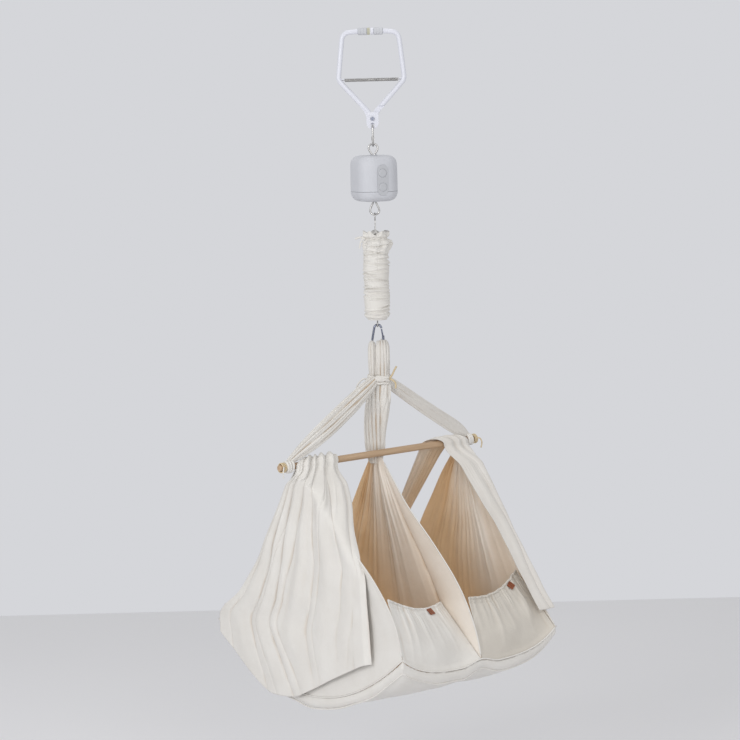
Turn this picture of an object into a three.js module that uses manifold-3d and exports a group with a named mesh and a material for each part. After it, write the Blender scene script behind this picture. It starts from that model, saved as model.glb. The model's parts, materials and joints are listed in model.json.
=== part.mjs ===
// Hanging twin baby cradle: a sprung clamp for a door frame, a battery swing drive, a sleeved
// extension spring, and a cotton cradle with two places under a beech spreader bar.
// Millimetres, +Z up. X runs along the spreader bar and the front is -Y. The origin is the middle
// of the clamp's jaws, where the door frame holds everything up.
import * as THREE from 'three';
import { mergeVertices } from 'three/addons/utils/BufferGeometryUtils.js';
import Module from 'manifold-3d';

const wasm = await Module();
wasm.setup();

// Clearances
const SEAT_GAP = 0.3; // between two pieces that touch
const RUN_GAP = 0.5; // round a rod, pin or button that moves
const CUT_OVERRUN = 3; // how far a cutter passes the face it opens

// How the hanging line is turned about the vertical, in degrees
const CHAIN_TURN_DEG = -41;
const DRIVE_TURN_DEG = 24; // the button side, from the clamp's plane

// Door-frame clamp
const CLAMP_TUBE_D = 15;
const CLAMP_TOP_HALF = 78; // middle to each arm, at the top bend
const CLAMP_WAIST_HALF = 92; // middle to each arm, at the spring
const CLAMP_TOP_SLOPE = 3; // fall of the arm from the jaws to the top bend
const CLAMP_WAIST_DROP = 134; // jaws down to the spring
const CLAMP_PIVOT_DROP = 242; // jaws down to the pivot bolt
const CLAMP_BEND_R = 22;
const ARM_FOOT_RISE = 18; // pivot up to where the tube meets its tongue
const ARM_FOOT_HALF = 9.5;
const JAW_PAD_D = 21;
const JAW_PAD_LENGTH = 26;
const JAW_PAD_RIBS = 3;
const JAW_PAD_GROOVE = 0.9;
const JAW_FACE_LENGTH = 7.5;
const JAW_FACE_D = 20;
const JAW_GAP = 2.4; // between the two jaws at rest
const TONGUE_WIDTH = 34;
const TONGUE_THICK = 4.5;
const TONGUE_RIM = 6; // metal left round the hanger hole
const PIVOT_BOLT_D = 6;
const PIVOT_HEAD_D = 11;
const PIVOT_HEAD_HEIGHT = 4;
const PIVOT_NUT_HEIGHT = 5;
const PIVOT_WASHER_D = 17;
const PIVOT_WASHER_THICK = 2.4;
const HANGER_HOLE_D = 12;
const HANGER_HOLE_DROP = 17; // pivot down to the hanger hole
const CLAMP_SPRING_D = 10;
const CLAMP_SPRING_WIRE = 1.8;
const CLAMP_SPRING_LENGTH = 148; // wound body
const CLAMP_SPRING_CURLS = 15;
const SPRING_LUG_HOLE_D = 4.2;
const SPRING_LUG_THICK = 2.5;
const SPRING_LUG_REACH = 7.5; // from the tube's wall inwards

// Snap hooks
const UPPER_HOOK_HEIGHT = 56.3; // between the wire's centres at top and bottom
const UPPER_HOOK_TOP_R = 9;
const UPPER_HOOK_BOTTOM_R = 12;
const UPPER_HOOK_WIRE = 6;
const LOWER_HOOK_HEIGHT = 64;
const LOWER_HOOK_TOP_R = 10;
const LOWER_HOOK_BOTTOM_R = 17;
const LOWER_HOOK_WIRE = 7;
const GATE_PIN_D = 2.2;
const GATE_CHEEK_THICK = 1.8;
const GATE_THINNER = 2; // the gate's rod is this much thinner than the hook's wire
const GATE_KNUCKLE_RISE = 5; // frame's end up to the gate's pin

// Swing drive
const DRIVE_SIDE = 120;
const DRIVE_HEIGHT = 128;
const DRIVE_CORNER_R = 42;
const DRIVE_EDGE_R = 24;
const DRIVE_WALL = 3;
const DRIVE_SEAM_RISE = 28; // bottom up to the seam
const DRIVE_SEAM_GAP = 0.8;
const EYE_WIRE = 4.5;
const EYE_LOOP_R = 13;
const EYE_END_DEG = 48; // below the loop's middle, where its wire ends
const TOP_EYE_RISE = 31.5; // housing top up to the eye's highest wire centre
const BOTTOM_EYE_DROP = 37.7; // housing bottom down to the eye's lowest wire centre
const EYE_FLANGE_D = 17;
const EYE_FLANGE_THICK = 4;
const GROMMET_D = 17;
const GROMMET_LIP = 1.4;
const CHASSIS_SIDE = 92;
const CHASSIS_WIDTH = 73.6;
const CHASSIS_PLATE = 4;
const CHASSIS_POST_WIDTH = 12;
const CHASSIS_TOP_DROP = 8; // housing top down to the upper plate
const CHASSIS_BOTTOM_RISE = 20; // housing bottom up to the lower plate
const MOTOR_D = 38;
const MOTOR_LENGTH = 42;
const LEAD_SCREW_D = 8;
const LEAD_SCREW_LENGTH = 38;
const LEAD_SCREW_THREAD = 0.7;
const LEAD_SCREW_RIDGES = 4;
const SCREW_HEAD_D = 15;
const SCREW_HEAD_LENGTH = 8;
const CARRIAGE_D = 20;
const CARRIAGE_TRAVEL = 12; // down to the lower plate
const CARRIAGE_FLANGE_D = 27;
const CARRIAGE_FLANGE_THICK = 3.5;
const CARRIAGE_NUT_LENGTH = 20;
const CARRIAGE_SOCKET_DEPTH = 12;
const CARRIAGE_WEB = 2;
const BATTERY_WIDTH = 64;
const BATTERY_DEPTH = 19;
const BATTERY_HEIGHT = 56;
const BOARD_WIDTH = 46;
const BOARD_THICK = 1.6;
const BOARD_HEIGHT = 70;
const PANEL_WIDTH = 33;
const PANEL_HEIGHT = 85;
const PANEL_DROP = 67.5; // housing top down to the panel's middle
const PANEL_PROUD = 0.8;
const BUTTON_D = 24;
const BUTTON_SPACING = 39;
const BUTTON_PROUD = 1.8; // past the panel's face
const BUTTON_TRAVEL = 1;
const BUTTON_FLANGE = 1.2;
const BUTTON_STEM_D = 5;
const PORT_WIDTH = 22;
const PORT_HEIGHT = 12;
const PORT_DROP = 50;

// Main spring and its sleeve
const SPRING_UNIT_LENGTH = 320; // between the centres of the wires it hangs by
const SPRING_HOOK_WIRE = 4;
const SPRING_HOOK_R = 9;
const SPRING_HOOK_STEM = 58; // from the hook's loop down to the plug
const SPRING_PLUG_D = 33;
const SPRING_PLUG_THICK = 6;
const SPRING_EYE_R = 8;
const SPRING_EYE_STEM = 5;
const MAIN_SPRING_D = 30;
const MAIN_SPRING_WIRE = 3.2;
const MAIN_SPRING_CURLS = 11;
const SLEEVE_R = 32;
const SLEEVE_WALL = 9;
const SLEEVE_CREASE = 4.5;
const SLEEVE_RUFFLE_RISE = 22; // above the upper plug
const SLEEVE_RUFFLE_FLARE = 6;
const SLEEVE_NECK_SHARE = 0.4; // how much of its radius the drawstring takes in
const DRAWSTRING_D = 3;
const DRAWSTRING_TAIL = 34; // fall of the longer tail
const DRAWSTRING_REACH = 18.7; // how far the tails stand off the neck

// Cloth head, knot and straps
const CLOTH = 3; // thickness of a gathered layer
const CLOTH_OVER_WIRE = 5;
const CRADLE_SWING_DEG = 20; // room in the cloth's loop for the hook to rock either way
const HEAD_TOP_HALF = 30;
const HEAD_DEPTH_HALF = 13;
const HEAD_LENGTH = 108; // lower hook's wire down to the three straps
const PINCH_DROP = 88; // lower hook's wire down to the knot
const PINCH_HALF = 12;
const HEAD_FOOT_HALF = 22;
const HEAD_FOLD_SHARE = 0.06;
const TIE_CORD_D = 3.6;
const TIE_TURNS = 3;
const TIE_TAIL = 42;
const STRAP_TOP_HALF = 7;
const STRAP_FOLD = 1.6;
const STRAP_FOLDS = 4.5; // waves over half the strap's width
const STRAP_THICK = 9;
const LEFT_STRAP_HALF = 25;
const RIGHT_STRAP_HALF = 29;
const CENTRE_STRAP_HALF = 31;
const CENTRE_STRAP_FOOT_HALF = 19;
const CENTRE_STRAP_THICK = 20;
const CENTRE_STRAP_FOLD_SHARE = 0.12;

// Spreader bar
const BAR_D = 20;
const BAR_LENGTH = 745;
const BAR_DROP = 1183; // jaws down to the bar's axis
const STRAND_SET_BACK = 21; // the middle strand hangs behind the bar
const BAR_WRAP = 4; // cloth wound round the bar
const STRAP_WRAP_WIDTH = 24;
const WALL_WRAP_WIDTH = 28;
const WRAP_SPACING = 8;
const LASHING_D = 4;
const LASHING_TURNS = 3;
const BAR_END_MARGIN = 6; // bar's end to the lashing

// Cradle cloth
const CRADLE_WIDTH = 578;
const CRADLE_LENGTH = 792;
const SEAM_DROP = 1672; // jaws down to the base's corner seams
const BASE_SAG = 160; // middle of a side seam below its corners
const BASE_END_SAG = 58; // middle of the front seam below its corners
const BASE_MID_SAG = -20; // the divider holds the middle higher than the side seams
const BASE_NOTCH = 14; // lift of the front seam at the divider
const BASE_NOTCH_HALF = 70;
const BASE_DEPTH = 34;
const BASE_EDGE_TUCK = 16;
const COVER_THICK = 2.5;
const MATTRESS_CROWN = 5;
const MATTRESS_FIT = 2.2; // slack of the mattress in its cover
const COVER_SLIT_SHARE = 0.8; // of the cradle's width, at the head end
const SLIT_OPENING = 8;
const WALL_TOP_HALF = 12;
const WALL_BOW_OUT = 50; // a tight edge stands out from the straight line
const WALL_BOW_IN = -48; // a slack edge hangs in from it
const RIGHT_WALL_BOW = -10;
const WALL_FOLD = 7;
const WALL_FOLDS = 6; // half waves either side of a wall's middle
const LEFT_RIM_OUTER_RISE = 155; // corner seam up to the left pocket's rim, at the side wall
const LEFT_RIM_INNER_RISE = 92; // at the divider
const RIGHT_RIM_OUTER_RISE = 140;
const RIGHT_RIM_INNER_RISE = 118;
const LEFT_RIM_OUTER_REACH = 338; // middle of the cradle to the rim's end at the side wall
const LEFT_RIM_INNER_REACH = 240; // to its end at the divider
const RIGHT_RIM_OUTER_REACH = 243;
const RIGHT_RIM_INNER_REACH = 345;
const HEAD_PANEL_RISE = 45;
const HEAD_PANEL_REACH = 372;
const POCKET_RIM_SAG = 20;
const POCKET_BELLY = 26;
const HEAD_PANEL_BELLY = 10;
const POCKET_GATHER = 2.2;
const POCKET_GATHERS = 11; // half waves along the rim
const FOOT_LIFT_SHARE = 0.3; // of the cloth, so that a leaning edge rests on the base
const TAB_WIDTH = 26;
const TAB_HEIGHT = 20;
const TAB_THICK = 2;
const LEFT_TAB_SHARE = 0.7; // place along the pocket's rim
const RIGHT_TAB_SHARE = 0.78;

// Drape cloths over the bar
const DRAPE_THICK = 2.5;
const DRAPE_STAND_OFF = 12; // outside the wall it covers
const DRAPE_CORNER_STAND_OFF = 21; // in front of the wall's edge
const DRAPE_FOLD = 5;
const DRAPE_LEFT_INNER = 172; // middle of the bar to the cloth's inner edge
const DRAPE_RIGHT_INNER = 228;
const DRAPE_BACK_INNER = 164;
const DRAPE_BACK_OUTER = 256;
const DRAPE_BACK_LENGTH = 560;
const DRAPE_BACK_SLOPE_SHARE = 0.42; // of the back leg's length, goes backwards
const DRAPE_BACK_FOOT_INNER = 75; // from the side wall in to the back leg's foot
const DRAPE_BACK_FOOT_OUTER = 30;

// Facets
const ROUND_SIDES = 16;
const BASE_COLUMNS = 8;
const BASE_ROWS = 10;
const WALL_COLUMNS = 18;
const WALL_ROWS = 6;
const POCKET_COLUMNS = 14;
const HEAD_PANEL_COLUMNS = 10; // the head panels are slacker
const POCKET_ROWS = 4;
const HEAD_PANEL_ROWS = 3;
const WIRE_SIDES = 8;
const CORD_SIDES = 5;
const CURL_STEPS = 8;
const LOOP_STEPS = 10; // of a tie or lashing turn
const CHANNEL_SIDES = 8;
const DEG = Math.PI / 180;

// Levels down the hanging line
const pivotZ = -CLAMP_PIVOT_DROP;
const hangerZ = pivotZ - HANGER_HOLE_DROP;
const hookBend = UPPER_HOOK_TOP_R - Math.sqrt(UPPER_HOOK_TOP_R ** 2 - (TONGUE_THICK / 2) ** 2);
const upperHookTopZ = hangerZ - HANGER_HOLE_D / 2 + UPPER_HOOK_WIRE / 2 + hookBend + SEAT_GAP * 1.5;
const upperHookBottomZ = upperHookTopZ - UPPER_HOOK_HEIGHT;
const topEyeZ = upperHookBottomZ + (UPPER_HOOK_WIRE + EYE_WIRE) / 2 + SEAT_GAP;
const driveTopZ = topEyeZ - TOP_EYE_RISE;
const driveBottomZ = driveTopZ - DRIVE_HEIGHT;
const driveSeamZ = driveBottomZ + DRIVE_SEAM_RISE;
const bottomEyeZ = driveBottomZ - BOTTOM_EYE_DROP;
const springHookZ = bottomEyeZ + (EYE_WIRE + SPRING_HOOK_WIRE) / 2 + SEAT_GAP;
const springEyeZ = springHookZ - SPRING_UNIT_LENGTH;
const lowerHookTopZ = springEyeZ + (SPRING_HOOK_WIRE + LOWER_HOOK_WIRE) / 2 + SEAT_GAP;
const lowerHookBottomZ = lowerHookTopZ - LOWER_HOOK_HEIGHT;
const headFootZ = lowerHookBottomZ - HEAD_LENGTH;
const barZ = -BAR_DROP;
const barR = BAR_D / 2;
const wrapR = barR + SEAT_GAP + BAR_WRAP;

// Finishes
const FINISH = {
  enamel: new THREE.MeshStandardMaterial({ color: 0xe9edf2, roughness: 0.35, metalness: 0.1 }),
  rubber: new THREE.MeshStandardMaterial({ color: 0xb9bbc2, roughness: 0.8 }),
  brass: new THREE.MeshStandardMaterial({ color: 0xb9b48f, roughness: 0.5, metalness: 0.5 }),
  steel: new THREE.MeshStandardMaterial({ color: 0x8a8c92, roughness: 0.28, metalness: 1 }),
  darkSteel: new THREE.MeshStandardMaterial({ color: 0x4c5160, roughness: 0.3, metalness: 1 }),
  shell: new THREE.MeshStandardMaterial({ color: 0xc6c7cb, roughness: 0.55 }),
  panel: new THREE.MeshStandardMaterial({ color: 0xb7b8bd, roughness: 0.5 }),
  inner: new THREE.MeshStandardMaterial({ color: 0x3b4046, roughness: 0.6 }),
  board: new THREE.MeshStandardMaterial({ color: 0x2f6b46, roughness: 0.6 }),
  cotton: new THREE.MeshStandardMaterial({ color: 0xe6e0d2, roughness: 0.95 }),
  cord: new THREE.MeshStandardMaterial({ color: 0xd8cbb0, roughness: 0.9 }),
  beech: new THREE.MeshStandardMaterial({ color: 0xc9a27a, roughness: 0.6 }),
  foam: new THREE.MeshStandardMaterial({ color: 0xeeeae0, roughness: 1 }),
  leather: new THREE.MeshStandardMaterial({ color: 0x8a4a2f, roughness: 0.6 }),
};

const at = (x, y, z) => new THREE.Vector3(x, y, z);
const mix = THREE.MathUtils.lerp;
const smooth = (value) => THREE.MathUtils.smoothstep(value, 0, 1);

// A closed mesh with shared vertices and its faces turned outwards
function closed(geometry) {
  const bare = geometry.clone();
  bare.deleteAttribute('normal');
  bare.deleteAttribute('uv');
  const shared = mergeVertices(bare);
  const p = shared.attributes.position;
  const index = shared.index.array;
  const corners = [at(0, 0, 0), at(0, 0, 0), at(0, 0, 0)];
  let volume = 0;
  for (let i = 0; i < index.length; i += 3) {
    corners.forEach((corner, k) => corner.fromBufferAttribute(p, index[i + k]));
    volume += corners[0].dot(corners[1].cross(corners[2]));
  }
  if (volume < 0) {
    for (let i = 0; i < index.length; i += 3) {
      [index[i + 1], index[i + 2]] = [index[i + 2], index[i + 1]];
    }
  }
  return shared;
}

// Joining and cutting of closed meshes
function toSolid(geometry) {
  const shape = closed(geometry);
  const vertProperties = new Float32Array(shape.attributes.position.array);
  const triVerts = new Uint32Array(shape.index.array);
  return new wasm.Manifold(new wasm.Mesh({ numProp: 3, vertProperties, triVerts }));
}

function toGeometry(solid) {
  const mesh = solid.getMesh();
  const geometry = new THREE.BufferGeometry();
  geometry.setAttribute('position', new THREE.BufferAttribute(mesh.vertProperties, 3));
  geometry.setIndex(new THREE.BufferAttribute(mesh.triVerts, 1));
  return geometry;
}

function join(...geometries) {
  return toGeometry(geometries.map(toSolid).reduce((whole, piece) => whole.add(piece)));
}

function cut(geometry, ...cutters) {
  const tools = cutters.map(toSolid);
  return toGeometry(tools.reduce((whole, piece) => whole.subtract(piece), toSolid(geometry)));
}

// Basic shapes, set at their places
function cylinder(diameter, length, axis, centre, sides = ROUND_SIDES) {
  const shape = new THREE.CylinderGeometry(diameter / 2, diameter / 2, length, sides);
  if (axis === 'z') shape.rotateX(Math.PI / 2);
  if (axis === 'x') shape.rotateZ(Math.PI / 2);
  return shape.translate(centre.x, centre.y, centre.z);
}

function block(width, depth, height, centre) {
  return new THREE.BoxGeometry(width, depth, height).translate(centre.x, centre.y, centre.z);
}

// A turned piece, from [radius, height] pairs that start and end on the axis or close on themselves
function turned(profile, sides = ROUND_SIDES) {
  const points = profile.map(([radius, height]) => new THREE.Vector2(radius, height));
  return new THREE.LatheGeometry(points, sides).rotateX(Math.PI / 2);
}

function ring(innerR, outerR, low, high, sides = ROUND_SIDES) {
  return turned([[innerR, low], [outerR, low], [outerR, high], [innerR, high], [innerR, low]], sides);
}

// A round wire through points: its rings stand square to the route and never twist
function wire(points, diameter, sides = WIRE_SIDES) {
  const last = points.length - 1;
  const ahead = points.map((_, i) => {
    const next = points[Math.min(i + 1, last)].clone();
    return next.sub(points[Math.max(i - 1, 0)]).normalize();
  });
  const first = Math.abs(ahead[0].x) < 0.9 ? at(1, 0, 0) : at(0, 1, 0);
  let side = first.addScaledVector(ahead[0], -first.dot(ahead[0])).normalize();
  const frames = ahead.map((direction) => {
    side = side.clone().addScaledVector(direction, -side.dot(direction)).normalize();
    return [side, direction.clone().cross(side)];
  });
  return loft((share, around) => {
    const i = Math.round(share * last);
    const a = around * 2 * Math.PI;
    return points[i].clone()
      .addScaledVector(frames[i][0], (diameter / 2) * Math.cos(a))
      .addScaledVector(frames[i][1], (diameter / 2) * Math.sin(a));
  }, last, sides);
}

// Points of a route with a bend of the given radius at every corner
function bent(corners, radius, steps = 4) {
  const route = [corners[0]];
  for (let i = 1; i < corners.length - 1; i += 1) {
    const back = corners[i - 1].clone().sub(corners[i]);
    const on = corners[i + 1].clone().sub(corners[i]);
    const room = Math.min(back.length(), on.length()) / 2;
    back.normalize();
    on.normalize();
    const half = back.angleTo(on) / 2;
    const reach = Math.min(radius / Math.tan(half), room);
    const from = corners[i].clone().addScaledVector(back, reach);
    const to = corners[i].clone().addScaledVector(on, reach);
    const centre = corners[i].clone().addScaledVector(back.add(on).normalize(), reach / Math.cos(half));
    const sweep = Math.PI - 2 * half;
    for (let k = 0; k <= steps; k += 1) {
      const a = (k / steps) * sweep;
      const arm = from.clone().sub(centre).multiplyScalar(Math.sin(sweep - a) / Math.sin(sweep));
      arm.addScaledVector(to.clone().sub(centre), Math.sin(a) / Math.sin(sweep));
      route.push(arm.add(centre));
    }
  }
  route.push(corners[corners.length - 1]);
  return route;
}

// Points of a smooth loose route through a few places
function loose(places, steps) {
  return new THREE.CatmullRomCurve3(places, false, 'centripetal').getSpacedPoints(steps);
}

function arcPoints(centre, radius, fromDeg, toDeg, count, place) {
  return Array.from({ length: count + 1 }, (_, i) => {
    const a = mix(fromDeg, toDeg, i / count) * DEG;
    return place(centre[0] + radius * Math.cos(a), centre[1] + radius * Math.sin(a));
  });
}

// Radius of a many-sided ring whose flats still clear the given radius
const clearing = (radius, sides) => radius / Math.cos(Math.PI / sides);

const inFrontPlane = (a, b) => at(a, 0, b);
const inSidePlane = (a, b) => at(0, a, b);

// A closed solid over a grid of points: rings of equal size, capped at both ends
function loft(pointAt, rings, sides) {
  const positions = [];
  const index = [];
  for (let i = 0; i <= rings; i += 1) {
    for (let j = 0; j < sides; j += 1) {
      positions.push(...pointAt(i / rings, j / sides).toArray());
    }
  }
  for (let i = 0; i < rings; i += 1) {
    for (let j = 0; j < sides; j += 1) {
      const k = (j + 1) % sides;
      index.push(i * sides + j, i * sides + k, (i + 1) * sides + k);
      index.push(i * sides + j, (i + 1) * sides + k, (i + 1) * sides + j);
    }
  }
  [0, rings].forEach((i) => {
    const middle = at(0, 0, 0);
    for (let j = 0; j < sides; j += 1) middle.add(pointAt(i / rings, j / sides));
    positions.push(...middle.divideScalar(sides).toArray());
    const hub = positions.length / 3 - 1;
    for (let j = 0; j < sides; j += 1) {
      const pair = [i * sides + j, i * sides + ((j + 1) % sides)];
      if (i === 0) pair.reverse();
      index.push(hub, ...pair);
    }
  });
  const geometry = new THREE.BufferGeometry();
  geometry.setAttribute('position', new THREE.Float32BufferAttribute(positions, 3));
  geometry.setIndex(index);
  return closed(geometry);
}

// Closes two stacked grids of points into one slab
function gridSlab(positions, across, along) {
  const id = (i, j, layer) => layer * (along + 1) * (across + 1) + i * (across + 1) + j;
  const index = [];
  const quad = (a, b, c, d) => index.push(a, b, c, a, c, d);
  for (let i = 0; i < along; i += 1) {
    for (let j = 0; j < across; j += 1) {
      quad(id(i, j, 0), id(i, j + 1, 0), id(i + 1, j + 1, 0), id(i + 1, j, 0));
      quad(id(i, j, 1), id(i + 1, j, 1), id(i + 1, j + 1, 1), id(i, j + 1, 1));
    }
  }
  for (let i = 0; i < along; i += 1) {
    quad(id(i, 0, 0), id(i + 1, 0, 0), id(i + 1, 0, 1), id(i, 0, 1));
    quad(id(i + 1, across, 0), id(i, across, 0), id(i, across, 1), id(i + 1, across, 1));
  }
  for (let j = 0; j < across; j += 1) {
    quad(id(0, j + 1, 0), id(0, j, 0), id(0, j, 1), id(0, j + 1, 1));
    quad(id(along, j, 0), id(along, j + 1, 0), id(along, j + 1, 1), id(along, j, 1));
  }
  const geometry = new THREE.BufferGeometry();
  geometry.setAttribute('position', new THREE.Float32BufferAttribute(positions, 3));
  geometry.setIndex(index);
  return closed(geometry);
}

// A sheet of cloth with a thickness, over a surface given by two shares
function sheet(surface, across, along, thickness) {
  const besideShare = 0.01;
  const layer = (u, v, side) => {
    const du = surface(Math.min(u + besideShare, 1), v).sub(surface(Math.max(u - besideShare, 0), v));
    const dv = surface(u, Math.min(v + besideShare, 1)).sub(surface(u, Math.max(v - besideShare, 0)));
    return surface(u, v).addScaledVector(du.cross(dv).normalize(), (side * thickness) / 2);
  };
  const positions = [];
  [1, -1].forEach((side) => {
    for (let i = 0; i <= along; i += 1) {
      for (let j = 0; j <= across; j += 1) positions.push(...layer(j / across, i / along, side).toArray());
    }
  });
  return gridSlab(positions, across, along);
}

// Least gap of a wound wire to itself, printed so that a change of size can be judged
function reportCoilGap(name, radius, pitch, wireD) {
  const gap = Math.min(pitch, 2 * radius) - wireD;
  console.log(`${name}: least gap between turns ${gap.toFixed(2)} mm`);
}

// A wound spring as one unbroken wire, with curls of eight steps and five sides
function woundSpring(name, meanR, wireD, length, curls) {
  const pitch = (length - wireD) / curls;
  const point = (share, around) => {
    const a = share * curls * 2 * Math.PI;
    const b = around * 2 * Math.PI;
    const r = meanR + (wireD / 2) * Math.cos(b);
    const z = (wireD - length) / 2 + share * curls * pitch + (wireD / 2) * Math.sin(b);
    return at(r * Math.cos(a), r * Math.sin(a), z);
  };
  reportCoilGap(name, meanR, pitch, wireD);
  return loft(point, curls * CURL_STEPS, CORD_SIDES);
}

const cradleRoot = new THREE.Group();
cradleRoot.name = 'hanging_baby_cradle';
const chain = new THREE.Group();
chain.rotation.z = CHAIN_TURN_DEG * DEG;
const drive = new THREE.Group();
drive.rotation.z = DRIVE_TURN_DEG * DEG;
chain.add(drive);
cradleRoot.add(chain);

function place(group, name, geometry, finish) {
  const shape = closed(geometry);
  shape.computeVertexNormals();
  const mesh = new THREE.Mesh(shape, finish.clone());
  mesh.name = name;
  group.add(mesh);
  return mesh;
}

// Door-frame clamp: two bent tube arms that cross nothing, pinned at the foot and drawn together by
// a spring, with rubber jaws that grip the trim over a door
function buildClamp() {
  const tongueY = (PIVOT_WASHER_THICK + TONGUE_THICK) / 2 + SEAT_GAP;

  function arm(side) {
    const jawX = side * (JAW_GAP / 2 + JAW_FACE_LENGTH + SEAT_GAP);
    const corners = [
      at(jawX, 0, 0),
      at(side * CLAMP_TOP_HALF, 0, -CLAMP_TOP_SLOPE),
      at(side * CLAMP_WAIST_HALF, 0, -CLAMP_WAIST_DROP),
      at(side * ARM_FOOT_HALF, 0, pivotZ + ARM_FOOT_RISE),
      at(side * ARM_FOOT_HALF, 0, pivotZ + ARM_FOOT_RISE / 2),
    ];
    const padEnd = at(side * (Math.abs(jawX) + JAW_PAD_LENGTH + CLAMP_TUBE_D / 4), 0, 0);
    const tube = wire(bent([corners[0], padEnd, ...corners.slice(1)], CLAMP_BEND_R), CLAMP_TUBE_D, 8);
    const lugX = side * (CLAMP_WAIST_HALF - CLAMP_TUBE_D / 2 - SPRING_LUG_REACH / 2 + CLAMP_TUBE_D / 4);
    const lugLength = SPRING_LUG_REACH + CLAMP_TUBE_D / 2;
    const lug = block(lugLength, SPRING_LUG_THICK, SPRING_LUG_REACH, at(lugX, 0, -CLAMP_WAIST_DROP));
    const y = side * tongueY;
    const hasHanger = side < 0;
    const tongueLow = hasHanger ? hangerZ - HANGER_HOLE_D / 2 - TONGUE_RIM + TONGUE_WIDTH / 2 : pivotZ;
    const tongueHigh = pivotZ + ARM_FOOT_RISE;
    const plate = join(
      block(TONGUE_WIDTH, TONGUE_THICK, tongueHigh - tongueLow, at(0, y, (tongueHigh + tongueLow) / 2)),
      cylinder(TONGUE_WIDTH, TONGUE_THICK, 'y', at(0, y, tongueLow)),
    );
    const boltHole = cylinder(PIVOT_BOLT_D + 2 * SEAT_GAP, CLAMP_TUBE_D * 2, 'y', at(0, 0, pivotZ), 12);
    const lugHoleX = side * (CLAMP_WAIST_HALF - CLAMP_TUBE_D / 2 - SPRING_LUG_REACH / 2);
    const lugHole = cylinder(SPRING_LUG_HOLE_D, CLAMP_TUBE_D, 'y', at(lugHoleX, 0, -CLAMP_WAIST_DROP), 8);
    const otherTongue = block(
      TONGUE_WIDTH * 2, CLAMP_TUBE_D, ARM_FOOT_RISE * 4,
      at(0, y - side * (TONGUE_THICK / 2 + CLAMP_TUBE_D / 2), pivotZ),
    );
    const cutters = [boltHole, lugHole, otherTongue];
    if (hasHanger) cutters.push(cylinder(HANGER_HOLE_D, CLAMP_TUBE_D * 2, 'y', at(0, 0, hangerZ), 16));
    return cut(join(tube, lug, plate), ...cutters);
  }

  function jawPad(side) {
    const inner = CLAMP_TUBE_D / 2 + SEAT_GAP;
    const outer = JAW_PAD_D / 2;
    const pitch = JAW_PAD_LENGTH / JAW_PAD_RIBS;
    const profile = [[inner, 0]];
    for (let i = 0; i < JAW_PAD_RIBS; i += 1) {
      profile.push([outer, i * pitch + pitch / 5], [outer, (i + 1) * pitch - pitch / 5]);
      if (i < JAW_PAD_RIBS - 1) profile.push([outer - JAW_PAD_GROOVE, (i + 1) * pitch]);
    }
    profile.push([inner, JAW_PAD_LENGTH], [inner, 0]);
    const start = JAW_GAP / 2 + JAW_FACE_LENGTH + SEAT_GAP;
    return turned(profile).rotateY((side * Math.PI) / 2).translate(side * start, 0, 0);
  }

  function jawFace(side) {
    const middle = side * (JAW_GAP + JAW_FACE_LENGTH) / 2;
    return cylinder(JAW_FACE_D, JAW_FACE_LENGTH, 'x', at(middle, 0, 0));
  }

  [[-1, 'left', FINISH.brass], [1, 'right', FINISH.enamel]].forEach(([side, name, faceFinish]) => {
    place(chain, `clamp_arm_${name}`, arm(side), FINISH.enamel);
    place(chain, `clamp_pad_${name}`, jawPad(side), FINISH.rubber);
    place(chain, `clamp_face_${name}`, jawFace(side), faceFinish);
  });

  const stackHalf = PIVOT_WASHER_THICK / 2 + TONGUE_THICK + 2 * SEAT_GAP;
  const headY = -stackHalf - PIVOT_HEAD_HEIGHT / 2;
  const shankEnd = stackHalf + PIVOT_NUT_HEIGHT + PIVOT_BOLT_D / 4;
  const shank = cylinder(PIVOT_BOLT_D, shankEnd - headY, 'y', at(0, (shankEnd + headY) / 2, pivotZ), 12);
  const head = cylinder(PIVOT_HEAD_D, PIVOT_HEAD_HEIGHT, 'y', at(0, headY, pivotZ));
  const bore = cylinder(PIVOT_BOLT_D + 2 * SEAT_GAP, CLAMP_TUBE_D * 2, 'y', at(0, 0, pivotZ), 12);
  const nutY = stackHalf + PIVOT_NUT_HEIGHT / 2;
  const nut = cylinder(PIVOT_HEAD_D, PIVOT_NUT_HEIGHT, 'y', at(0, nutY, pivotZ), 6);
  const washer = cylinder(PIVOT_WASHER_D, PIVOT_WASHER_THICK, 'y', at(0, 0, pivotZ));
  place(chain, 'pivot_bolt', join(shank, head), FINISH.darkSteel);
  place(chain, 'pivot_nut', cut(nut, bore), FINISH.darkSteel);
  place(chain, 'pivot_washer', cut(washer, bore), FINISH.steel);

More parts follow.
